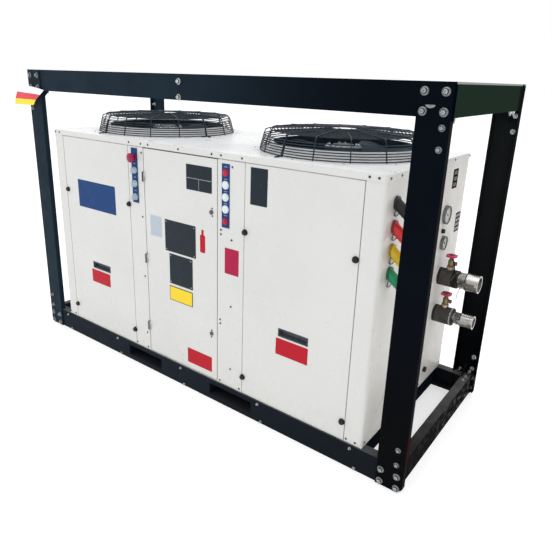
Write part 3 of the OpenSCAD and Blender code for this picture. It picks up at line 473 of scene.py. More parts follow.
# Nodes that differ from their slot's look
NODE_LOOKS = {
    "fan_collars": cabinet_paint("collar paint", collar=True),
    "hinge_leaves": HINGE_PAINT,
    "door_hinge_leaves": HINGE_PAINT,
    "door_locks": DARK_ZINC,
    "panel_grips": grip_plastic(),
    "couplings": coupling_steel(),
    "power_inlet_flanges": inlet_flanges(),
    "corner_gussets": finish("gusset paint", (0.004, 0.006, 0.009), 0.50, shine=0.05),
    "main_switch": finish("switch red", (0.30, 0.006, 0.060), 0.30, shine=0.3),
}

# Slots whose nodes have folded or machined edges, and how wide the edge is broken
BROKEN_EDGES = {"frame_black": 0.0026, "cabinet_white": 0.0012, "black_plastic": 0.0008, "zinc": 0.0007,
                "red_plastic": 0.0010, "grey_plastic": 0.0008, "gauge_case": 0.0008}


def dress_nodes():
    """Gives each CAD node its look, and breaks the sharp edges of folded and machined parts."""
    slots = {part["node"]: part["material_slot"] for part in frame["record"]["subparts"]}
    for name, obj in nodes.items():
        slot = slots[name]
        obj.data.materials.clear()
        obj.data.materials.append(NODE_LOOKS.get(name) or SLOT_LOOKS[slot])
        if slot in BROKEN_EDGES:
            bevel = obj.modifiers.new("broken edge", "BEVEL")
            bevel.width = BROKEN_EDGES[slot]
            bevel.segments = 3
            bevel.limit_method = "ANGLE"
            bevel.angle_limit = math.radians(50)
            bevel.harden_normals = False


# Mesh forms

def placed(name, data):
    """A new object in the scene."""
    obj = bpy.data.objects.new(name, data)
    scene.collection.objects.link(obj)
    return obj


def facing(normal, place, up=UP):
    """A matrix at place whose Z is normal and whose Y is as near to up as it can be."""
    z = Vector(normal).normalized()
    y = Vector(up)
    y = (y - z * y.dot(z)).normalized()
    return Matrix.Translation(Vector(place)) @ Matrix((y.cross(z), y, z)).transposed().to_4x4()


def on_front(x, z, y=FRONT):
    return facing(FRONT_NORMAL, (x, y, z))


def on_end(y, z, x=END):
    return facing(RIGHT_NORMAL, (x, y, z))


def circle(sides):
    """The cosine and sine of each of a circle's evenly spaced angles."""
    return [(math.cos(math.tau * i / sides), math.sin(math.tau * i / sides)) for i in range(sides)]


CORNER_STEPS = 5


def rounded(width, height, corner, level, inset=0.0):
    """Outline of a rounded rectangle at one level, anticlockwise."""
    points = []
    for quarter, (side_x, side_y) in enumerate(((1, 1), (-1, 1), (-1, -1), (1, -1))):
        for step in range(CORNER_STEPS + 1):
            angle = math.pi / 2 * (quarter + step / CORNER_STEPS)
            points.append((side_x * (width / 2 - corner) + (corner - inset) * math.cos(angle),
                           side_y * (height / 2 - corner) + (corner - inset) * math.sin(angle), level))
    return points


def along(points):
    """A square frame at each point of a path, carried along without twist."""
    path = [Vector(p) for p in points]
    frames = []
    side = None
    for i, point in enumerate(path):
        ahead = (path[min(i + 1, len(path) - 1)] - path[max(i - 1, 0)]).normalized()
        if side is None:
            side = ahead.orthogonal().normalized()
        side = (side - ahead * side.dot(ahead)).normalized()
        frames.append((point, side, ahead.cross(side)))
    return frames


class Shape:
    """One mesh that is put together from turned, flat and tubular forms."""

    def __init__(self):
        self.bm = bmesh.new()

    def face(self, corners, paint):
        unique = list(dict.fromkeys(corners))
        if len(unique) > 2:
            self.bm.faces.new(unique).material_index = paint

    def ring(self, points, matrix):
        return [self.bm.verts.new(matrix @ Vector(p)) for p in points]

    def rings(self, rings, paint, closed=False):
        pairs = list(zip(rings, rings[1:]))
        if closed:
            pairs.append((rings[-1], rings[0]))
        for low, high in pairs:
            count = max(len(low), len(high))
            for i in range(count):
                j = (i + 1) % count
                lower = (low[i % len(low)], low[j % len(low)])
                upper = (high[j % len(high)], high[i % len(high)])
                self.face(lower + upper, paint)

    def turned(self, profile, matrix, sides, paint=0, scale=1.0):
        """Turns (radius, height) points about the matrix's Z; radius 0 closes it, and scale widens it."""
        rings = []
        for share, height in profile:
            radius = share * scale
            points = [(0, 0, height)]
            if radius:
                points = [(radius * c, radius * s, height) for c, s in circle(sides)]
            rings.append(self.ring(points, matrix))
        self.rings(rings, paint)

    def plate(self, width, height, thick, matrix, corner=0.002, paint=0):
        """A flat plate on the matrix's XY plane with a broken front edge."""
        edge = min(corner * 0.5, thick * 0.5)
        outlines = (rounded(width, height, corner, 0.0), rounded(width, height, corner, thick - edge),
                    rounded(width, height, corner, thick, edge))
        rings = [self.ring(outline, matrix) for outline in outlines]
        self.rings(rings, paint)
        self.face(rings[-1], paint)
        self.face(rings[0], paint)

    def slab(self, outline, thick, matrix):
        """A flat slab of any outline on the matrix's XY plane."""
        rings = [self.ring([(x, y, level) for x, y in outline], matrix) for level in (0.0, thick)]
        self.rings(rings, 0)
        self.face(rings[0], 0)
        self.face(rings[1], 0)

    def tube(self, points, radius, sides=8, paint=0, closed=False):
        rings = []
        for point, side, other in along(points):
            spokes = [side * c + other * s for c, s in circle(sides)]
            rings.append([self.bm.verts.new(point + radius * spoke) for spoke in spokes])
        self.rings(rings, paint, closed)
        if not closed:
            self.face(rings[0], paint)
            self.face(rings[-1], paint)

    def done(self, name, looks, slot, body="unit"):
        bmesh.ops.recalc_face_normals(self.bm, faces=self.bm.faces)
        mesh = bpy.data.meshes.new(name)
        self.bm.to_mesh(mesh)
        self.bm.free()
        for look in looks:
            mesh.materials.append(look)
        mesh.polygons.foreach_set("use_smooth", [True] * len(mesh.polygons))
        mesh.set_sharp_from_angle(angle=math.radians(35))
        obj = placed(name, mesh)
        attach(obj, body)
        return obj


# Fasteners

def flange_bolt(shape, matrix, radius):
    """A flange bolt on a washer; paint 0 is the head's top, 1 the washer and the head's root, 2 the rest."""
    head = 0.60 * radius
    top = 0.0056 + 0.50 * radius
    shape.turned([(1.12, 0), (1.12, 0.0012), (1, 0.0016)], matrix, 28, 1, radius)
    shape.turned([(1, 0.0014), (1, 0.0034), (0.92, 0.0046), (0.80, 0.0052)], matrix, 28, 2, radius)
    shape.turned([(0.80, 0.0052), (0.70, 0.0049), (0.40, 0.0049)], matrix, 28, 1, radius)
    shape.turned([(1, 0.0040), (1, top - 0.0014)], matrix, 6, 2, head)
    shape.turned([(1, top - 0.0014), (0.86, top), (0.60, top)], matrix, 6, 0, head)
    shape.turned([(0.60, top), (0.54, top - 0.0010), (0, top - 0.0010)], matrix, 12, 2, head)


def nut(shape, matrix, radius):
    """A nut on a washer with the end of its bolt; paint 0 is the nut and 1 the rest."""
    shape.turned([(1.10, 0), (1.10, 0.002), (0.90, 0.0025), (0, 0.0025)], matrix, 28, 1, radius)
    shape.turned([(0.74, 0.002), (0.74, 0.011), (0.64, 0.012), (0.40, 0.012)], matrix, 6, 0, radius)
    shape.turned([(0.40, 0.010), (0.40, 0.018), (0.34, 0.0195), (0, 0.0195)], matrix, 16, 1, radius)


def pan_screw(shape, matrix, radius):
    """A pan head screw with a round drive recess; paint 0 is the head and 1 the recess, which is given a
    darker look as painted shade.
    """
    shape.turned([(1.18, 0), (1.18, 0.0006), (1, 0.0009), (1, 0.35 * radius + 0.0006),
                  (0.78, 0.62 * radius), (0.46, 0.70 * radius)], matrix, 18, 0, radius)
    shape.turned([(0.46, 0.70 * radius), (0.36, 0.30 * radius), (0, 0.26 * radius)], matrix, 18, 1, radius)


BIG_BOLTS = ((1.079, 1.471), (1.146, 1.471), (1.079, 1.411), (1.146, 1.411),
             (1.078, 0.070), (1.078, 0.018), (1.144, 0.069), (1.146, 0.018))
FRONT_SMALL_BOLTS = ((1.146, 1.364), (1.145, 1.298), (1.138, 0.186), (1.138, 0.120))
REAR_SMALL_BOLTS = ((1.149, 1.370), (1.149, 1.303), (1.146, 0.205), (1.145, 0.140))
BIG_RADIUS = 0.0129
SMALL_RADIUS = 0.0100
# Nuts on the inside of each post, low down beside the end beam: along, up and radius
LOW_NUTS = ((1.157, 0.092, 0.0058), (1.157, 0.040, 0.0058), (1.135, 0.1175, 0.0085), (1.090, 0.122, 0.0075))
GUSSET_BOLTS = ((1.131, 0.392), (1.131, 0.352))
BASE_END_TOP = 0.107
TOP_END_BOLTS = ((1.148, 0.392), (1.148, 0.344))
TOP_END_FOOT = 1.393
END_BOLT_RADIUS = 0.0085
MIDDLE_BOLT_HEIGHTS = (1.469, 1.405)
# Rows of bolts along the base beams: height, and places in X
BASE_ROWS = ((0.092, (-0.995, -0.522, -0.025, 0.466, 0.937)),
             (0.009, (-0.970, -0.499, -0.002, 0.487, 0.963)))
BASE_BOLT_RADIUS = 0.0066


def frame_bolts():
    """Bolts through the posts and beams, with the nuts that show inside the posts."""
    posts = Shape()
    inside = Shape()
    beams = Shape()
    for side, normal, small in ((-1, FRONT_NORMAL, FRONT_SMALL_BOLTS), (1, REAR_NORMAL, REAR_SMALL_BOLTS)):
        inward = (0, -side, 0)
        for end in (-1, 1):
            for x, z in BIG_BOLTS:
                flange_bolt(posts, facing(normal, (end * x, side * POST_FACE, z)), BIG_RADIUS)
            for x, z in small:
                flange_bolt(posts, facing(normal, (end * x, side * POST_FACE, z)), SMALL_RADIUS)
                nut(inside, facing(inward, (end * x, side * POST_INSIDE, z)), SMALL_RADIUS)
            for x, z, radius in LOW_NUTS:
                nut(inside, facing(inward, (end * x, side * POST_INSIDE, z)), radius)
            for x, y in GUSSET_BOLTS:
                top = facing(UP, (end * x, side * y, BASE_END_TOP), FRONT_NORMAL)
                flange_bolt(inside, top, END_BOLT_RADIUS)
            for x, y in TOP_END_BOLTS:
                foot = facing(DOWN, (end * x, side * y, TOP_END_FOOT), FRONT_NORMAL)
                nut(inside, foot, END_BOLT_RADIUS)
        for z in MIDDLE_BOLT_HEIGHTS:
            flange_bolt(beams, facing(normal, (0, side * BEAM_FACE, z)), BIG_RADIUS)
        for z, row in BASE_ROWS:
            for x in row:
                flange_bolt(beams, facing(normal, (x, side * BEAM_FACE, z)), BASE_BOLT_RADIUS)
    # Painted highlights on the head tops and painted shade on the washers and head roots; the nuts inside are
    # painted bright as painted light.
    posts.done("post_bolts", [ZINC, DARK_ZINC, HEAD_ZINC], "zinc")
    inside.done("post_nuts", [BRIGHT_ZINC, ZINC, HEAD_ZINC], "zinc")
    beams.done("beam_bolts", [BRIGHT_ZINC, DARK_ZINC, ZINC], "zinc")


def rubbed_patch():
    """A half moon of bare metal between the top bolts of the front right post."""
    shape = Shape()
    angles = [math.pi + math.pi * i / 12 for i in range(13)]
    outline = [(0.016 * math.cos(angle), 0.010 * math.sin(angle)) for angle in angles]
    shape.slab(outline, 0.0005, on_front(1.102, 1.431, -POST_FACE))
    shape.done("rubbed_patch", [HEAD_ZINC], "zinc")


# Corner between the front left post and the top beam, and the legs of the web plate in it
WEB_CORNER = (-1.059, -0.416, 1.393)
WEB_ALONG = 0.044
WEB_DOWN = 0.030
WEB_THICKNESS = 0.004


def corner_web():
    """A small web plate between the front left post and the top beam."""
    shape = Shape()
    shape.slab([(0, 0), (0, -WEB_DOWN), (WEB_ALONG, 0)], WEB_THICKNESS, facing(FRONT_NORMAL, WEB_CORNER))
    shape.done("corner_web", [BLACK_FRAME], "frame_black")


SKIRT_SCREWS = (-0.963, -0.928, -0.352, -0.266, -0.216, -0.016, 0.185, 0.238, 0.351, 0.917, 0.953)
SKIRT_SCREW_Z = 1.184
BASE_SCREWS = (-0.973, -0.924, -0.362, -0.275, 0.234, 0.351, 0.914, 0.955)
BASE_SCREW_Z = 0.122
FACE_SCREWS = ((-0.276, 0.205), (-0.276, 0.520), (-0.275, 0.830), (-0.267, 1.142), (0.299, 1.142),
               (0.298, 0.829), (0.297, 0.519), (0.297, 0.204), (0.237, 0.864), (0.237, 0.844),
               (0.234, 0.438), (0.235, 0.419))
END_SKIRT_SCREWS = (-0.414, -0.324, 0.229, 0.425)
END_SKIRT_SCREW_Z = 1.185
END_BASE_SCREWS = (-0.410, -0.140, 0.140, 0.410)
END_BASE_SCREW_Z = 0.128
REAR_SCREWS = (-0.952, -0.026, 0.026, 0.952)
REAR_SCREW_HEIGHTS = (0.160, 0.480, 0.800, 1.120)
SCREW_RADIUS = 0.0042
DOOR_LOCK_SCREWS = ((0.185, 0.949), (0.187, 0.916), (0.183, 0.366), (0.181, 0.331))
LOCK_SCREW_RADIUS = 0.0034


def cabinet_screws():
    """Screws of the roof skirt, the panels and the base, on all four sides."""
    shape = Shape()
    places = [on_front(x, SKIRT_SCREW_Z, SKIRT_FRONT) for x in SKIRT_SCREWS]
    places += [on_front(x, BASE_SCREW_Z) for x in BASE_SCREWS]
    places += [on_front(x, z) for x, z in FACE_SCREWS]
    for end, normal in ((1, RIGHT_NORMAL), (-1, LEFT_NORMAL)):
        places += [facing(normal, (end * SKIRT_END, y, END_SKIRT_SCREW_Z)) for y in END_SKIRT_SCREWS]
        places += [facing(normal, (end * END, y, END_BASE_SCREW_Z)) for y in END_BASE_SCREWS]
    places += [facing(REAR_NORMAL, (x, REAR, z)) for z in REAR_SCREW_HEIGHTS for x in REAR_SCREWS]
    places += [facing(REAR_NORMAL, (x, SKIRT_REAR, SKIRT_SCREW_Z)) for x in SKIRT_SCREWS]
    for place in places:
        pan_screw(shape, place, SCREW_RADIUS)
    shape.done("cabinet_screws", [DARK_ZINC, BLACK_INK_AND_SHADE], "zinc")
    on_door = Shape()
    for x, z in DOOR_LOCK_SCREWS:
        pan_screw(on_door, on_front(x, z), LOCK_SCREW_RADIUS)
    on_door.done("lock_screws", [DARK_ZINC, BLACK_INK_AND_SHADE], "zinc", "door")


SEAM_X = (0.903, 0.367)
SEAM_HEIGHTS = (0.112, 0.640, 1.166)
SKIRT_SEAMS = ((-0.901, -0.262), (0.224, 0.901))
SKIRT_SEAM_Z = 1.169
SEAM_DEPTH = -0.4262
SEAM_RADIUS = 0.0019


def seam_seals():
    """Round seals in the seams of the fixed front panels; the door's own seams stay open."""
    shape = Shape()
    for side in (-1, 1):
        for x in SEAM_X:
            # Only the seal at the far right is bare
            bare = side > 0 and x == SEAM_X[0]
            line = [(side * x, SEAM_DEPTH, z) for z in SEAM_HEIGHTS]
            shape.tube(line, SEAM_RADIUS, paint=0 if bare else 1)
    for start, end in SKIRT_SEAMS:
        line = [(x, SEAM_DEPTH, SKIRT_SEAM_Z) for x in (start, (start + end) / 2, end)]
        shape.tube(line, SEAM_RADIUS, paint=1)
    shape.done("seam_seals", [SEAL, PALE_SEAL], "grey_plastic")


ENCLOSURE_BACK = -0.2150
ENCLOSURE_X = -0.019
RAIL_HEIGHTS = (0.340, 0.540, 0.740, 0.940)
RAIL_SLOTS = 12


def mounting_plate():
    """A galvanised plate with flat rails on the enclosure's back, where switchgear is fixed."""
    shape = Shape()
    shape.plate(0.400, 0.900, 0.0010, on_front(ENCLOSURE_X, 0.640, ENCLOSURE_BACK), 0.006, 0)
    for z in RAIL_HEIGHTS:
        shape.plate(0.360, 0.035, 0.0008, on_front(ENCLOSURE_X, z, ENCLOSURE_BACK - 0.0010), 0.001, 1)
        # Painted shade: each rail slot is a thin dark plate.
        for step in range(RAIL_SLOTS):
            slot = on_front(-0.184 + 0.030 * step, z, ENCLOSURE_BACK - 0.0018)
            shape.plate(0.015, 0.006, 0.0002, slot, 0.0025, 2)
    shape.done("mounting_plate", [ZINC, BRIGHT_ZINC, BLACK_INK_AND_SHADE], "zinc")


# Plates on the front

PLATE = 0.0012
INK = 0.0003
RIM = 0.0035
PLATE_SCREW_INSET = 0.010
PLATE_SCREW_RADIUS = 0.0028


def front_plate(name, x0, x1, z0, z1, look, slot, body="unit", thick=PLATE, screws=False, border=None):
    """A bare plate on the front; border is the look of a rim line, screws adds a screw in each corner."""
    width = x1 - x0
    height = z1 - z0
    centre = Vector(((x0 + x1) / 2, FRONT, (z0 + z1) / 2))
    shape = Shape()
    shape.plate(width, height, thick, facing(FRONT_NORMAL, centre), 0.003, 1)
    if border:
        field = facing(FRONT_NORMAL, centre - Vector((0, thick, 0)))
        shape.plate(width - 2 * RIM, height - 2 * RIM, INK, field, 0.002, 0)
    if screws:
        across = width / 2 - PLATE_SCREW_INSET
        up = height / 2 - PLATE_SCREW_INSET
        corner_screws = Shape()
        for side_x in (-1, 1):
            for side_z in (-1, 1):
                place = centre + Vector((side_x * across, -thick, side_z * up))
                pan_screw(corner_screws, facing(FRONT_NORMAL, place), PLATE_SCREW_RADIUS)
        corner_screws.done(name + "_screws", [ZINC, BLACK_INK_AND_SHADE], "zinc", body)
    shape.done(name, [look, border or look, ZINC, BLACK_INK_AND_SHADE], slot, body)


def front_plates():
    """Bare plates in the places of the signs and data plates."""
    front_plate("blue_plate", -0.796, -0.482, 0.800, 0.948, BLUE_PLATE, "strip_blue")
    front_plate("red_plate_left", -0.726, -0.567, 0.379, 0.453, RED_PLATE, "red_plastic")
    front_plate("red_plate_right", 0.550, 0.711, 0.378, 0.454, RED_PLATE, "red_plastic")
    front_plate("red_plate_strip", 0.260, 0.339, 0.671, 0.789, CRIMSON_PLATE, "red_plastic")
    front_plate("dark_plate_panel", 0.396, 0.482, 1.003, 1.155, DARK_PLATE, "black_plastic")
    front_plate("dark_plate_door", 0.030, 0.184, 1.013, 1.126, DARK_PLATE, "black_plastic", "door")
    front_plate("data_plate_upper", -0.118, 0.084, 0.695, 0.849, DARK_PLATE, "black_plastic", "door",
                screws=True)
    front_plate("data_plate_lower", -0.092, 0.062, 0.533, 0.685, DARK_PLATE, "black_plastic", "door",
                screws=True)
    front_plate("yellow_plate", -0.095, 0.060, 0.446, 0.520, YELLOW_PLATE, "sleeve_yellow", "door",
                border=BLACK_INK_AND_SHADE)
    front_plate("red_plate_door", 0.021, 0.182, 0.144, 0.222, RED_PLATE, "red_plastic", "door")
    front_plate("pale_label", -0.2215, -0.1375, 0.7485, 0.8545, PALE_INK, "white_plastic", "door",
                thick=0.0005, border=PALE_PLATE)
    dividers = Shape()
    dividers.plate(0.148, 0.0016, INK, on_front(0.107, 1.066, FRONT - PLATE), 0.0006)
    dividers.plate(0.0016, 0.045, INK, on_front(0.107, 1.0405, FRONT - PLATE), 0.0006)
    dividers.done("door_plate_dividers", [PALE_INK], "white_plastic", "door")
    sign = Shape()
    sign.plate(0.032, 0.084, 0.0006, on_front(0.127, 0.776), 0.008)
    sign.plate(0.014, 0.026, 0.0006, on_front(0.127, 0.829), 0.004)
    sign.done("slim_red_sign", [RED_PLATE], "red_plastic", "door")


LEFT_STRIP_X = -0.318
RIGHT_STRIP_X = 0.264
SELECTOR_HEIGHTS = (1.054, 0.989, 0.924)
LAMP_COUNT = 5
LAMP_TOP = 1.115
LAMP_PITCH = 0.052


def strip_marks():
    """Printed ticks round the selectors and bars over the lamps, with no lettering."""
    marks = Shape()
    for z in SELECTOR_HEIGHTS:
        for side in (-1, 1):
            tick = on_front(LEFT_STRIP_X + side * 0.0215, z + 0.018, STRIP_FACE)
            marks.plate(0.0045, 0.0018, INK, tick, 0.0006)
        marks.plate(0.014, 0.0022, INK, on_front(LEFT_STRIP_X, z + 0.0315, STRIP_FACE), 0.0006)
    for i in range(LAMP_COUNT):
        z = LAMP_TOP - i * LAMP_PITCH + 0.0245
        marks.plate(0.018, 0.0022, INK, on_front(RIGHT_STRIP_X, z, STRIP_FACE), 0.0006)
    marks.done("strip_marks", [PALE_INK], "white_plastic")


# Water end

def band(shape, matrix, radius, width, rise, paint, sides=40):
    """A flat band round a pipe along the matrix's Z, with eased edges."""
    shape.turned([(radius - 0.0002, -width / 2), (radius + rise, 0.0012 - width / 2),
                  (radius + rise, width / 2 - 0.0012), (radius - 0.0002, width / 2)], matrix, sides, paint)


INLET_Y = -0.344
INLET_SLOPE = math.radians(38)
INLET_LENGTH = 0.092
INLET_RADIUS = 0.020
INLET_RIBS = (0.030, 0.042, 0.054)


def inlet_mouths():
    """Open ends of the power inlets: a lip, a recess painted dark as shade and a contact pin, with ribs round
    each sleeve.
    """
    axis = Vector((math.cos(INLET_SLOPE), 0, -math.sin(INLET_SLOPE)))
    pins = Shape()
    for z, slot in zip(INLET_HEIGHTS, ("sleeve_black", "sleeve_red", "sleeve_yellow", "sleeve_green")):
        mouth = Vector((END, INLET_Y, z)) + axis * INLET_LENGTH
        lip = Shape()
        matrix = facing(axis, mouth)
        lip.turned([(INLET_RADIUS + 0.0004, -0.010), (INLET_RADIUS + 0.0014, -0.008),
                    (INLET_RADIUS + 0.0014, -0.001), (INLET_RADIUS - 0.0004, 0.0022),
                    (0.0152, 0.0022), (0.0140, 0.0006)], matrix, 28, 0)
        # Painted shade: the recess is a shallow dish in black.
        lip.turned([(0.0140, 0.0006), (0.0120, 0.0003), (0, 0.0003)], matrix, 28, 1)
        for back in INLET_RIBS:
            band(lip, facing(axis, mouth - axis * back), INLET_RADIUS, 0.006, 0.0009, 0, 28)
        lip.done(slot + "_mouth", [SLOT_LOOKS[slot], BLACK_INK_AND_SHADE], slot)
        pins.turned([(0.0062, 0.0002), (0.0062, 0.0016), (0.0052, 0.0021), (0, 0.0021)], matrix, 18, 0)
    pins.done("inlet_pins", [BRASS], "brass")


LANYARD_Y = -0.341
LANYARD_RADIUS = 0.0160
LANYARD_WIRE = 0.0017
LANYARD_STEPS = 28


def lanyard_rings():
    """Wire rings that hang from a stud below each power inlet."""
    shape = Shape()
    for i, z in enumerate(INLET_HEIGHTS):
        tilt = 0.25 * math.sin(2.1 * i + 0.6)
        middle = z - 0.033 - 0.002 * i
        ring = []
        for step in range(LANYARD_STEPS):
            angle = math.tau * step / LANYARD_STEPS
            ring.append((END + 0.0024 + 0.003 * (1 + math.sin(angle + 0.8)),
                         LANYARD_Y + LANYARD_RADIUS * math.cos(angle + tilt),
                         middle + LANYARD_RADIUS * math.sin(angle + tilt)))
        shape.tube(ring, LANYARD_WIRE, closed=True)
        stud = on_end(LANYARD_Y, middle + LANYARD_RADIUS)
        shape.turned([(0.0050, 0), (0.0050, 0.0016), (0.0030, 0.0030), (0, 0.0032)], stud, 16)
    shape.done("lanyard_rings", [WIRE], "zinc")


# The two gauges: middle in Y and Z, and radius
GAUGES = ((0.201, 0.948, 0.041), (0.209, 0.818, 0.032))
GAUGE_FACE = END + 0.010
GAUGE_TICKS = 20


def spoke(turn, out, level):
    """A matrix on a dial, which lies along the direction turn at a distance out from the middle."""
    return Matrix.Translation((0, 0, level)) @ Matrix.Rotation(turn, 4, "Z") @ Matrix.Translation((out, 0, 0))


def gauge_dials():
    """Dial faces with a scale, a needle and a boss."""
    shape = Shape()
    for y, z, radius in GAUGES:
        face = radius - 0.0045
        matrix = on_end(y, z, GAUGE_FACE)
        shape.turned([(face, 0), (face, INK), (0, INK)], matrix, 40, 0)
        for step in range(GAUGE_TICKS + 1):
            tick = matrix @ spoke(math.radians(225 - 270 * step / GAUGE_TICKS), face * 0.86, INK)
            long = step % 5 == 0
            shape.plate(face * (0.34 if long else 0.20), 0.0026 if long else 0.0015, 0.0002, tick, 0.0004, 1)
        needle = matrix @ spoke(math.radians(150), face * 0.30, 0.0012)
        shape.plate(face * 0.86, 0.0016, 0.0005, needle, 0.0005, 1)
        shape.turned([(0.0040, 0), (0.0040, 0.0022), (0, 0.0026)], matrix, 16, 1)
    shape.done("gauge_dials", [DIAL_FACE, BLACK_INK_AND_SHADE], "white_plastic")


# Labels on the water end: middle in Y and Z, width, height, columns and rows of squares, the squares' paint
END_LABELS = ((0.267, 1.099, 0.062, 0.086, 1, 3, 1), (0.381, 0.882, 0.060, 0.092, 2, 4, 2))
END_LABEL = 0.0006


def end_labels():
    """Bare dark labels on the water end, with grey squares in place of print."""
    shape = Shape()
    for y, z, width, height, columns, rows, paint in END_LABELS:
        shape.plate(width, height, END_LABEL, on_end(y, z), 0.003, 0)
        for column in range(columns):
            for row in range(rows):
                across = y + ((column + 0.5) / columns - 0.5) * 0.9 * width
                up = z + ((row + 0.5) / rows - 0.5) * 0.92 * height
                square = on_end(across, up, END + END_LABEL)
                shape.plate(0.6 * width / columns ** 0.7, 0.6 * height / rows, INK, square, 0.001, paint)
    shape.done("end_labels", [END_INK, END_GREY, END_PALE], "black_plastic")


TIE_STEPS = 12
TIE_REACH = 0.0418


def stub_bands():
    """Wall rings and bands round the foam stubs, and a tie that runs slanting over the upper one."""
    bands = Shape()
    for z in (UPPER_STUB_Z, LOWER_STUB_Z):
        wall_ring = [(0.0450, 0), (0.0450, 0.0010), (0.0436, 0.0018), (STUB_RADIUS - 0.0002, 0.0018)]
        bands.turned(wall_ring, on_end(STUB_Y, z), 40, 0)
        band(bands, on_end(STUB_Y, z, END + 0.010), STUB_RADIUS, 0.006, 0.0008, 1)
    band(bands, on_end(STUB_Y, UPPER_STUB_Z, STUB_END - 0.013), STUB_RADIUS, 0.024, 0.0010, 1)
    band(bands, on_end(STUB_Y, LOWER_STUB_Z, STUB_END - 0.007), STUB_RADIUS, 0.007, 0.0020, 2)
    slant = []
    for step in range(TIE_STEPS + 1):
        angle = math.radians(75 - 70 * step / TIE_STEPS)
        slant.append((STUB_END - 0.003 - 0.018 * step / TIE_STEPS, STUB_Y - TIE_REACH * math.cos(angle),
                      UPPER_STUB_Z + TIE_REACH * math.sin(angle)))
    bands.tube(slant, 0.0012, paint=3)
    bands.done("stub_bands", [WHITE_PAINT, BLACK_INK_AND_SHADE, ZINC, TIE], "zinc")


# The couplings: height, radius of the bore, and how far out the cam arms stand
COUPLINGS = ((UPPER_STUB_Z, 0.033, 0.040), (LOWER_STUB_Z, 0.024, 0.031))
GASKET_X = 1.1228
ARM_RING_X = 1.094
ARM_RING_RADIUS = 0.011


def coupling_fittings():
    """Collars under the valves, gasket rings inside the couplings, a dark band of painted shade in each
    coupling's groove, and rings on the cam arms.
    """
    collars = Shape()
    gaskets_and_groove_shade = Shape()
    rings = Shape()
    for z, bore, reach in COUPLINGS:
        band(collars, facing(UP, (VALVE_X, STUB_Y, z + 0.048), FRONT_NORMAL), 0.0145, 0.013, 0.0022, 0)
        gasket = [(bore - 0.0004, 0), (bore - 0.0004, 0.005), (bore - 0.006, 0.005), (bore - 0.006, 0)]
        gaskets_and_groove_shade.turned(gasket, on_end(STUB_Y, z, GASKET_X), 40)
        # Painted shade: a dark band in the groove of each coupling.
        band(gaskets_and_groove_shade, on_end(STUB_Y, z, GROOVE_X), bore + 0.0060, 0.0046, 0.0006, 0)
        for side in (-1, 1):
            centre = Vector((ARM_RING_X, STUB_Y + side * (reach + 0.006), z))
            ring = [centre + Vector((ARM_RING_RADIUS * c, side * 0.003 * s, -0.010 + ARM_RING_RADIUS * s))
                    for c, s in circle(20)]
            rings.tube(ring, 0.0011, 6, closed=True)
    collars.done("valve_collars", [PALE_BRASS], "brass")
    gaskets_and_groove_shade.done("coupling_gaskets", [BLACK_PLASTIC], "black_plastic")
    rings.done("cam_arm_rings", [WIRE], "zinc")


def wheel_nuts():
    """A washer and nut on top of each handwheel, which turn with it."""
    for name in ("handwheel_upper", "handwheel_lower"):
        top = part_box(name)[1].z
        shape = Shape()
        matrix = facing(UP, (VALVE_X, STUB_Y, top - 0.0004), FRONT_NORMAL)
        shape.turned([(0.0072, 0), (0.0072, 0.0012), (0.0060, 0.0016), (0, 0.0016)], matrix, 24, 1)
        shape.turned([(0.0050, 0.001), (0.0050, 0.0046), (0.0044, 0.0052), (0, 0.0052)], matrix, 6, 0)
        shape.done(name + "_nut", [BRASS, DARK_ZINC], "brass", name)


# Fans

BLADES = 5
FIRST_BLADE = 0.9
CLAMP_REACH = 0.068
CLAMP_THICKNESS = 0.003


def fan_clamps():
    """Clamps that hold the blades to each hub, with two bolts apiece."""
    for side, name in ((-1, "fan_left"), (1, "fan_right")):
        shape = Shape()
        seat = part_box("fan_hub_left" if side < 0 else "fan_hub_right")[1].z - 0.0102
        for i in range(BLADES):
            angle = math.tau * i / BLADES + FIRST_BLADE
            out = Vector((math.cos(angle), math.sin(angle), 0))
            centre = Vector((side * FAN_X, FAN_Y, seat)) + CLAMP_REACH * out
            shape.plate(0.044, 0.016, CLAMP_THICKNESS, facing(UP, centre, out), 0.003, 0)
            for step in (-1, 1):
                place = centre + step * 0.013 * Vector((-out.y, out.x, 0)) + Vector((0, 0, CLAMP_THICKNESS))
                flange_bolt(shape, facing(UP, place, out), 0.0070)
        shape.done(name + "_clamps", [BRIGHT_ZINC, ZINC, BRIGHT_ZINC], "zinc", name)


GUARD_SCREWS = 12
GUARD_SCREW_REACH = 0.392
LEG_RADIUS = 0.0030
FIRST_LEG = 78.75
# A guard's leg from its foot's tip to the shoulder: reach beyond the guard's base, and height over the roof
LEG_BENDS = ((0.038, 0.0031), (0.014, 0.0031), (0.006, 0.0050), (0.0015, 0.0120), (-0.0165, 0.0700))


def guard_fixings():
    """Screws round the guards' feet, and four stout legs with turned out feet on each guard."""
    feet = Shape()
    legs = Shape()
    for side in (-1, 1):
        for c, s in circle(GUARD_SCREWS):
            place = (side * FAN_X + GUARD_SCREW_REACH * c, FAN_Y + GUARD_SCREW_REACH * s, ROOF)
            pan_screw(feet, facing(UP, place, FRONT_NORMAL), 0.0032)
        base = Vector((side * FAN_X, FAN_Y, ROOF))
        for quarter in range(4):
            angle = math.radians(FIRST_LEG + 90 * quarter)
            out = Vector((math.cos(angle), math.sin(angle), 0))
            line = [base + (GUARD_RADIUS + reach) * out + Vector((0, 0, lift)) for reach, lift in LEG_BENDS]
            legs.tube(line, LEG_RADIUS)
    feet.done("guard_screws", [ZINC, DARK_ZINC], "zinc")
    legs.done("guard_legs", [SLOT_LOOKS["guard_wire"]], "guard_wire")


# Loose pieces

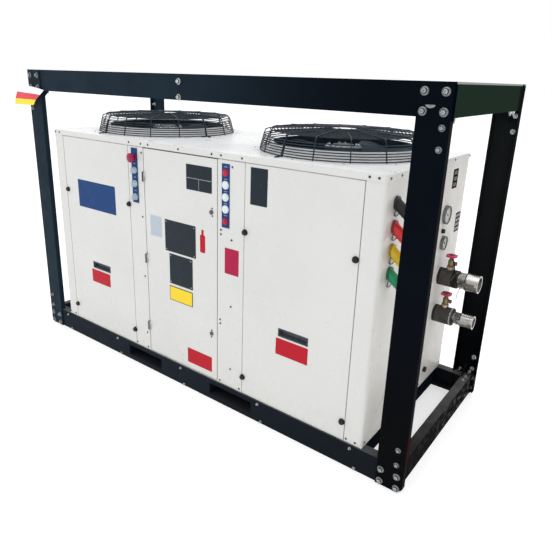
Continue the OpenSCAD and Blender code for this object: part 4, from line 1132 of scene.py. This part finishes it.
# Left and right ends of the tag's edges, from its top to its foot
TAG_EDGES = (((-1.140, -0.487, 1.423), (-1.030, -0.4385, 1.396)),
             ((-1.210, -0.490, 1.384), (-1.050, -0.452, 1.371)),
             ((-1.234, -0.491, 1.347), (-1.078, -0.463, 1.344)),
             ((-1.245, -0.491, 1.315), (-1.098, -0.467, 1.316)))
TAG_COLUMNS = 24
TAG_ROWS = 8
TAG_RIPPLE = 0.005


def tag():
    """A limp tag that hangs over a bolt at the frame's top left corner, in white, red and yellow bands."""
    shape = Shape()
    grid = []
    for stripe, ((left, right), (next_left, next_right)) in enumerate(zip(TAG_EDGES, TAG_EDGES[1:])):
        last = stripe == len(TAG_EDGES) - 2
        for row in range(TAG_ROWS + 1 if last else TAG_ROWS):
            down = row / TAG_ROWS
            start = Vector(right).lerp(Vector(next_right), down)
            end = Vector(left).lerp(Vector(next_left), down)
            line = []
            for column in range(TAG_COLUMNS + 1):
                share = column / TAG_COLUMNS
                phase = 5.0 * share + 0.8 * (stripe + down)
                ripple = TAG_RIPPLE * math.sin(math.pi * share) * math.sin(phase)
                line.append(shape.bm.verts.new(start.lerp(end, share) + Vector((0, ripple, 0))))
            grid.append(line)
    for j, (upper, lower) in enumerate(zip(grid, grid[1:])):
        for i in range(TAG_COLUMNS):
            shape.face((upper[i], upper[i + 1], lower[i + 1], lower[i]), j // TAG_ROWS)
    area = sum(face.calc_area() for face in shape.bm.faces)
    made = shape.done("corner_tag", [TAG_WHITE, TAG_RED, TAG_YELLOW], "white_plastic")


EASED_STEPS = 6


def eased(points):
    """A smooth path through the points."""
    path = [Vector(p) for p in points]
    line = []
    for i in range(len(path) - 1):
        before = path[max(i - 1, 0)]
        after = path[min(i + 2, len(path) - 1)]
        leave = (path[i + 1] - before) * 0.5
        reach = (after - path[i]) * 0.5
        for step in range(EASED_STEPS):
            t = step / EASED_STEPS
            line.append(path[i] * (2 * t ** 3 - 3 * t ** 2 + 1) + leave * (t ** 3 - 2 * t ** 2 + t)
                        + path[i + 1] * (3 * t ** 2 - 2 * t ** 3) + reach * (t ** 3 - t ** 2))
    return line + [path[-1]]


STRAP_POINTS = ((1.036, 0.2200, 0.746), (1.048, 0.2020, 0.751), (1.058, 0.1900, 0.731),
                (1.068, 0.1840, 0.700), (1.076, 0.1820, 0.674), (1.083, 0.1815, 0.648))
TIE_POINTS = ((1.085, 0.2280, 0.618), (1.082, 0.2270, 0.603), (1.077, 0.2260, 0.584), (1.082, 0.2265, 0.563))


def straps():
    """A black strap from the upper valve's neck to a cam arm's ring, and the tail of a grey tie below."""
    for name, points, radius, look, slot, far_end in (
            ("arm_strap", STRAP_POINTS, 0.0028, STRAP, "black_plastic", "object"),
            ("tie_tail", TIE_POINTS, 0.0014, TIE, "white_plastic", "bare")):
        line = eased(points)
        shape = Shape()
        shape.tube(line, radius)
        made = shape.done(name, [look], slot)


dress_nodes()
frame_bolts()
rubbed_patch()
corner_web()
cabinet_screws()
seam_seals()
mounting_plate()
front_plates()
strip_marks()
inlet_mouths()
lanyard_rings()
gauge_dials()
end_labels()
stub_bands()
coupling_fittings()
wheel_nuts()
fan_clamps()
guard_fixings()
tag()
straps()


# Studio

FLOOR_REACH = 60.0


def studio():
    """A wide pale floor under an even white sky, with one broad lamp overhead."""
    mesh = bpy.data.meshes.new("floor")
    corners = [(x * FLOOR_REACH, y * FLOOR_REACH, 0) for x, y in ((-1, -1), (1, -1), (1, 1), (-1, 1))]
    mesh.from_pydata(corners, [], [(0, 1, 2, 3)])
    mesh.materials.append(floor_finish())
    floor = placed("floor", mesh)
    floor.location.z = -0.0008
    world = bpy.data.worlds.new("soft white")
    scene.world = world
    world.use_nodes = True
    background = world.node_tree.nodes["Background"]
    background.inputs["Color"].default_value = (1.0, 1.0, 1.0, 1.0)
    background.inputs["Strength"].default_value = 1.0
    lamp = bpy.data.lights.new("overhead", "AREA")
    lamp.shape = "DISK"
    lamp.size = 14.0
    lamp.energy = 400.0
    placed("overhead", lamp).location = (0.0, -0.5, 7.5)
    scene.view_settings.view_transform = "Standard"


def camera():
    """The photograph's camera, found from the corners of the frame."""
    right = Vector((0.79462, 0.6064, 0.02943))
    down = Vector((0.20935, -0.22818, -0.95084))
    forward = Vector((-0.56987, 0.76172, -0.30827))
    lens = bpy.data.cameras.new("camera")
    lens.sensor_width = 36.0
    lens.lens = 34.6848
    lens.shift_x = 0.017315
    lens.shift_y = -0.046827
    lens.clip_end = 300.0
    matrix = Matrix((right, -down, -forward)).transposed().to_4x4()
    matrix.translation = Vector((1.72137, -2.08167, 1.49454))
    scene.camera = placed("camera", lens)
    scene.camera.matrix_world = matrix


studio()
camera()
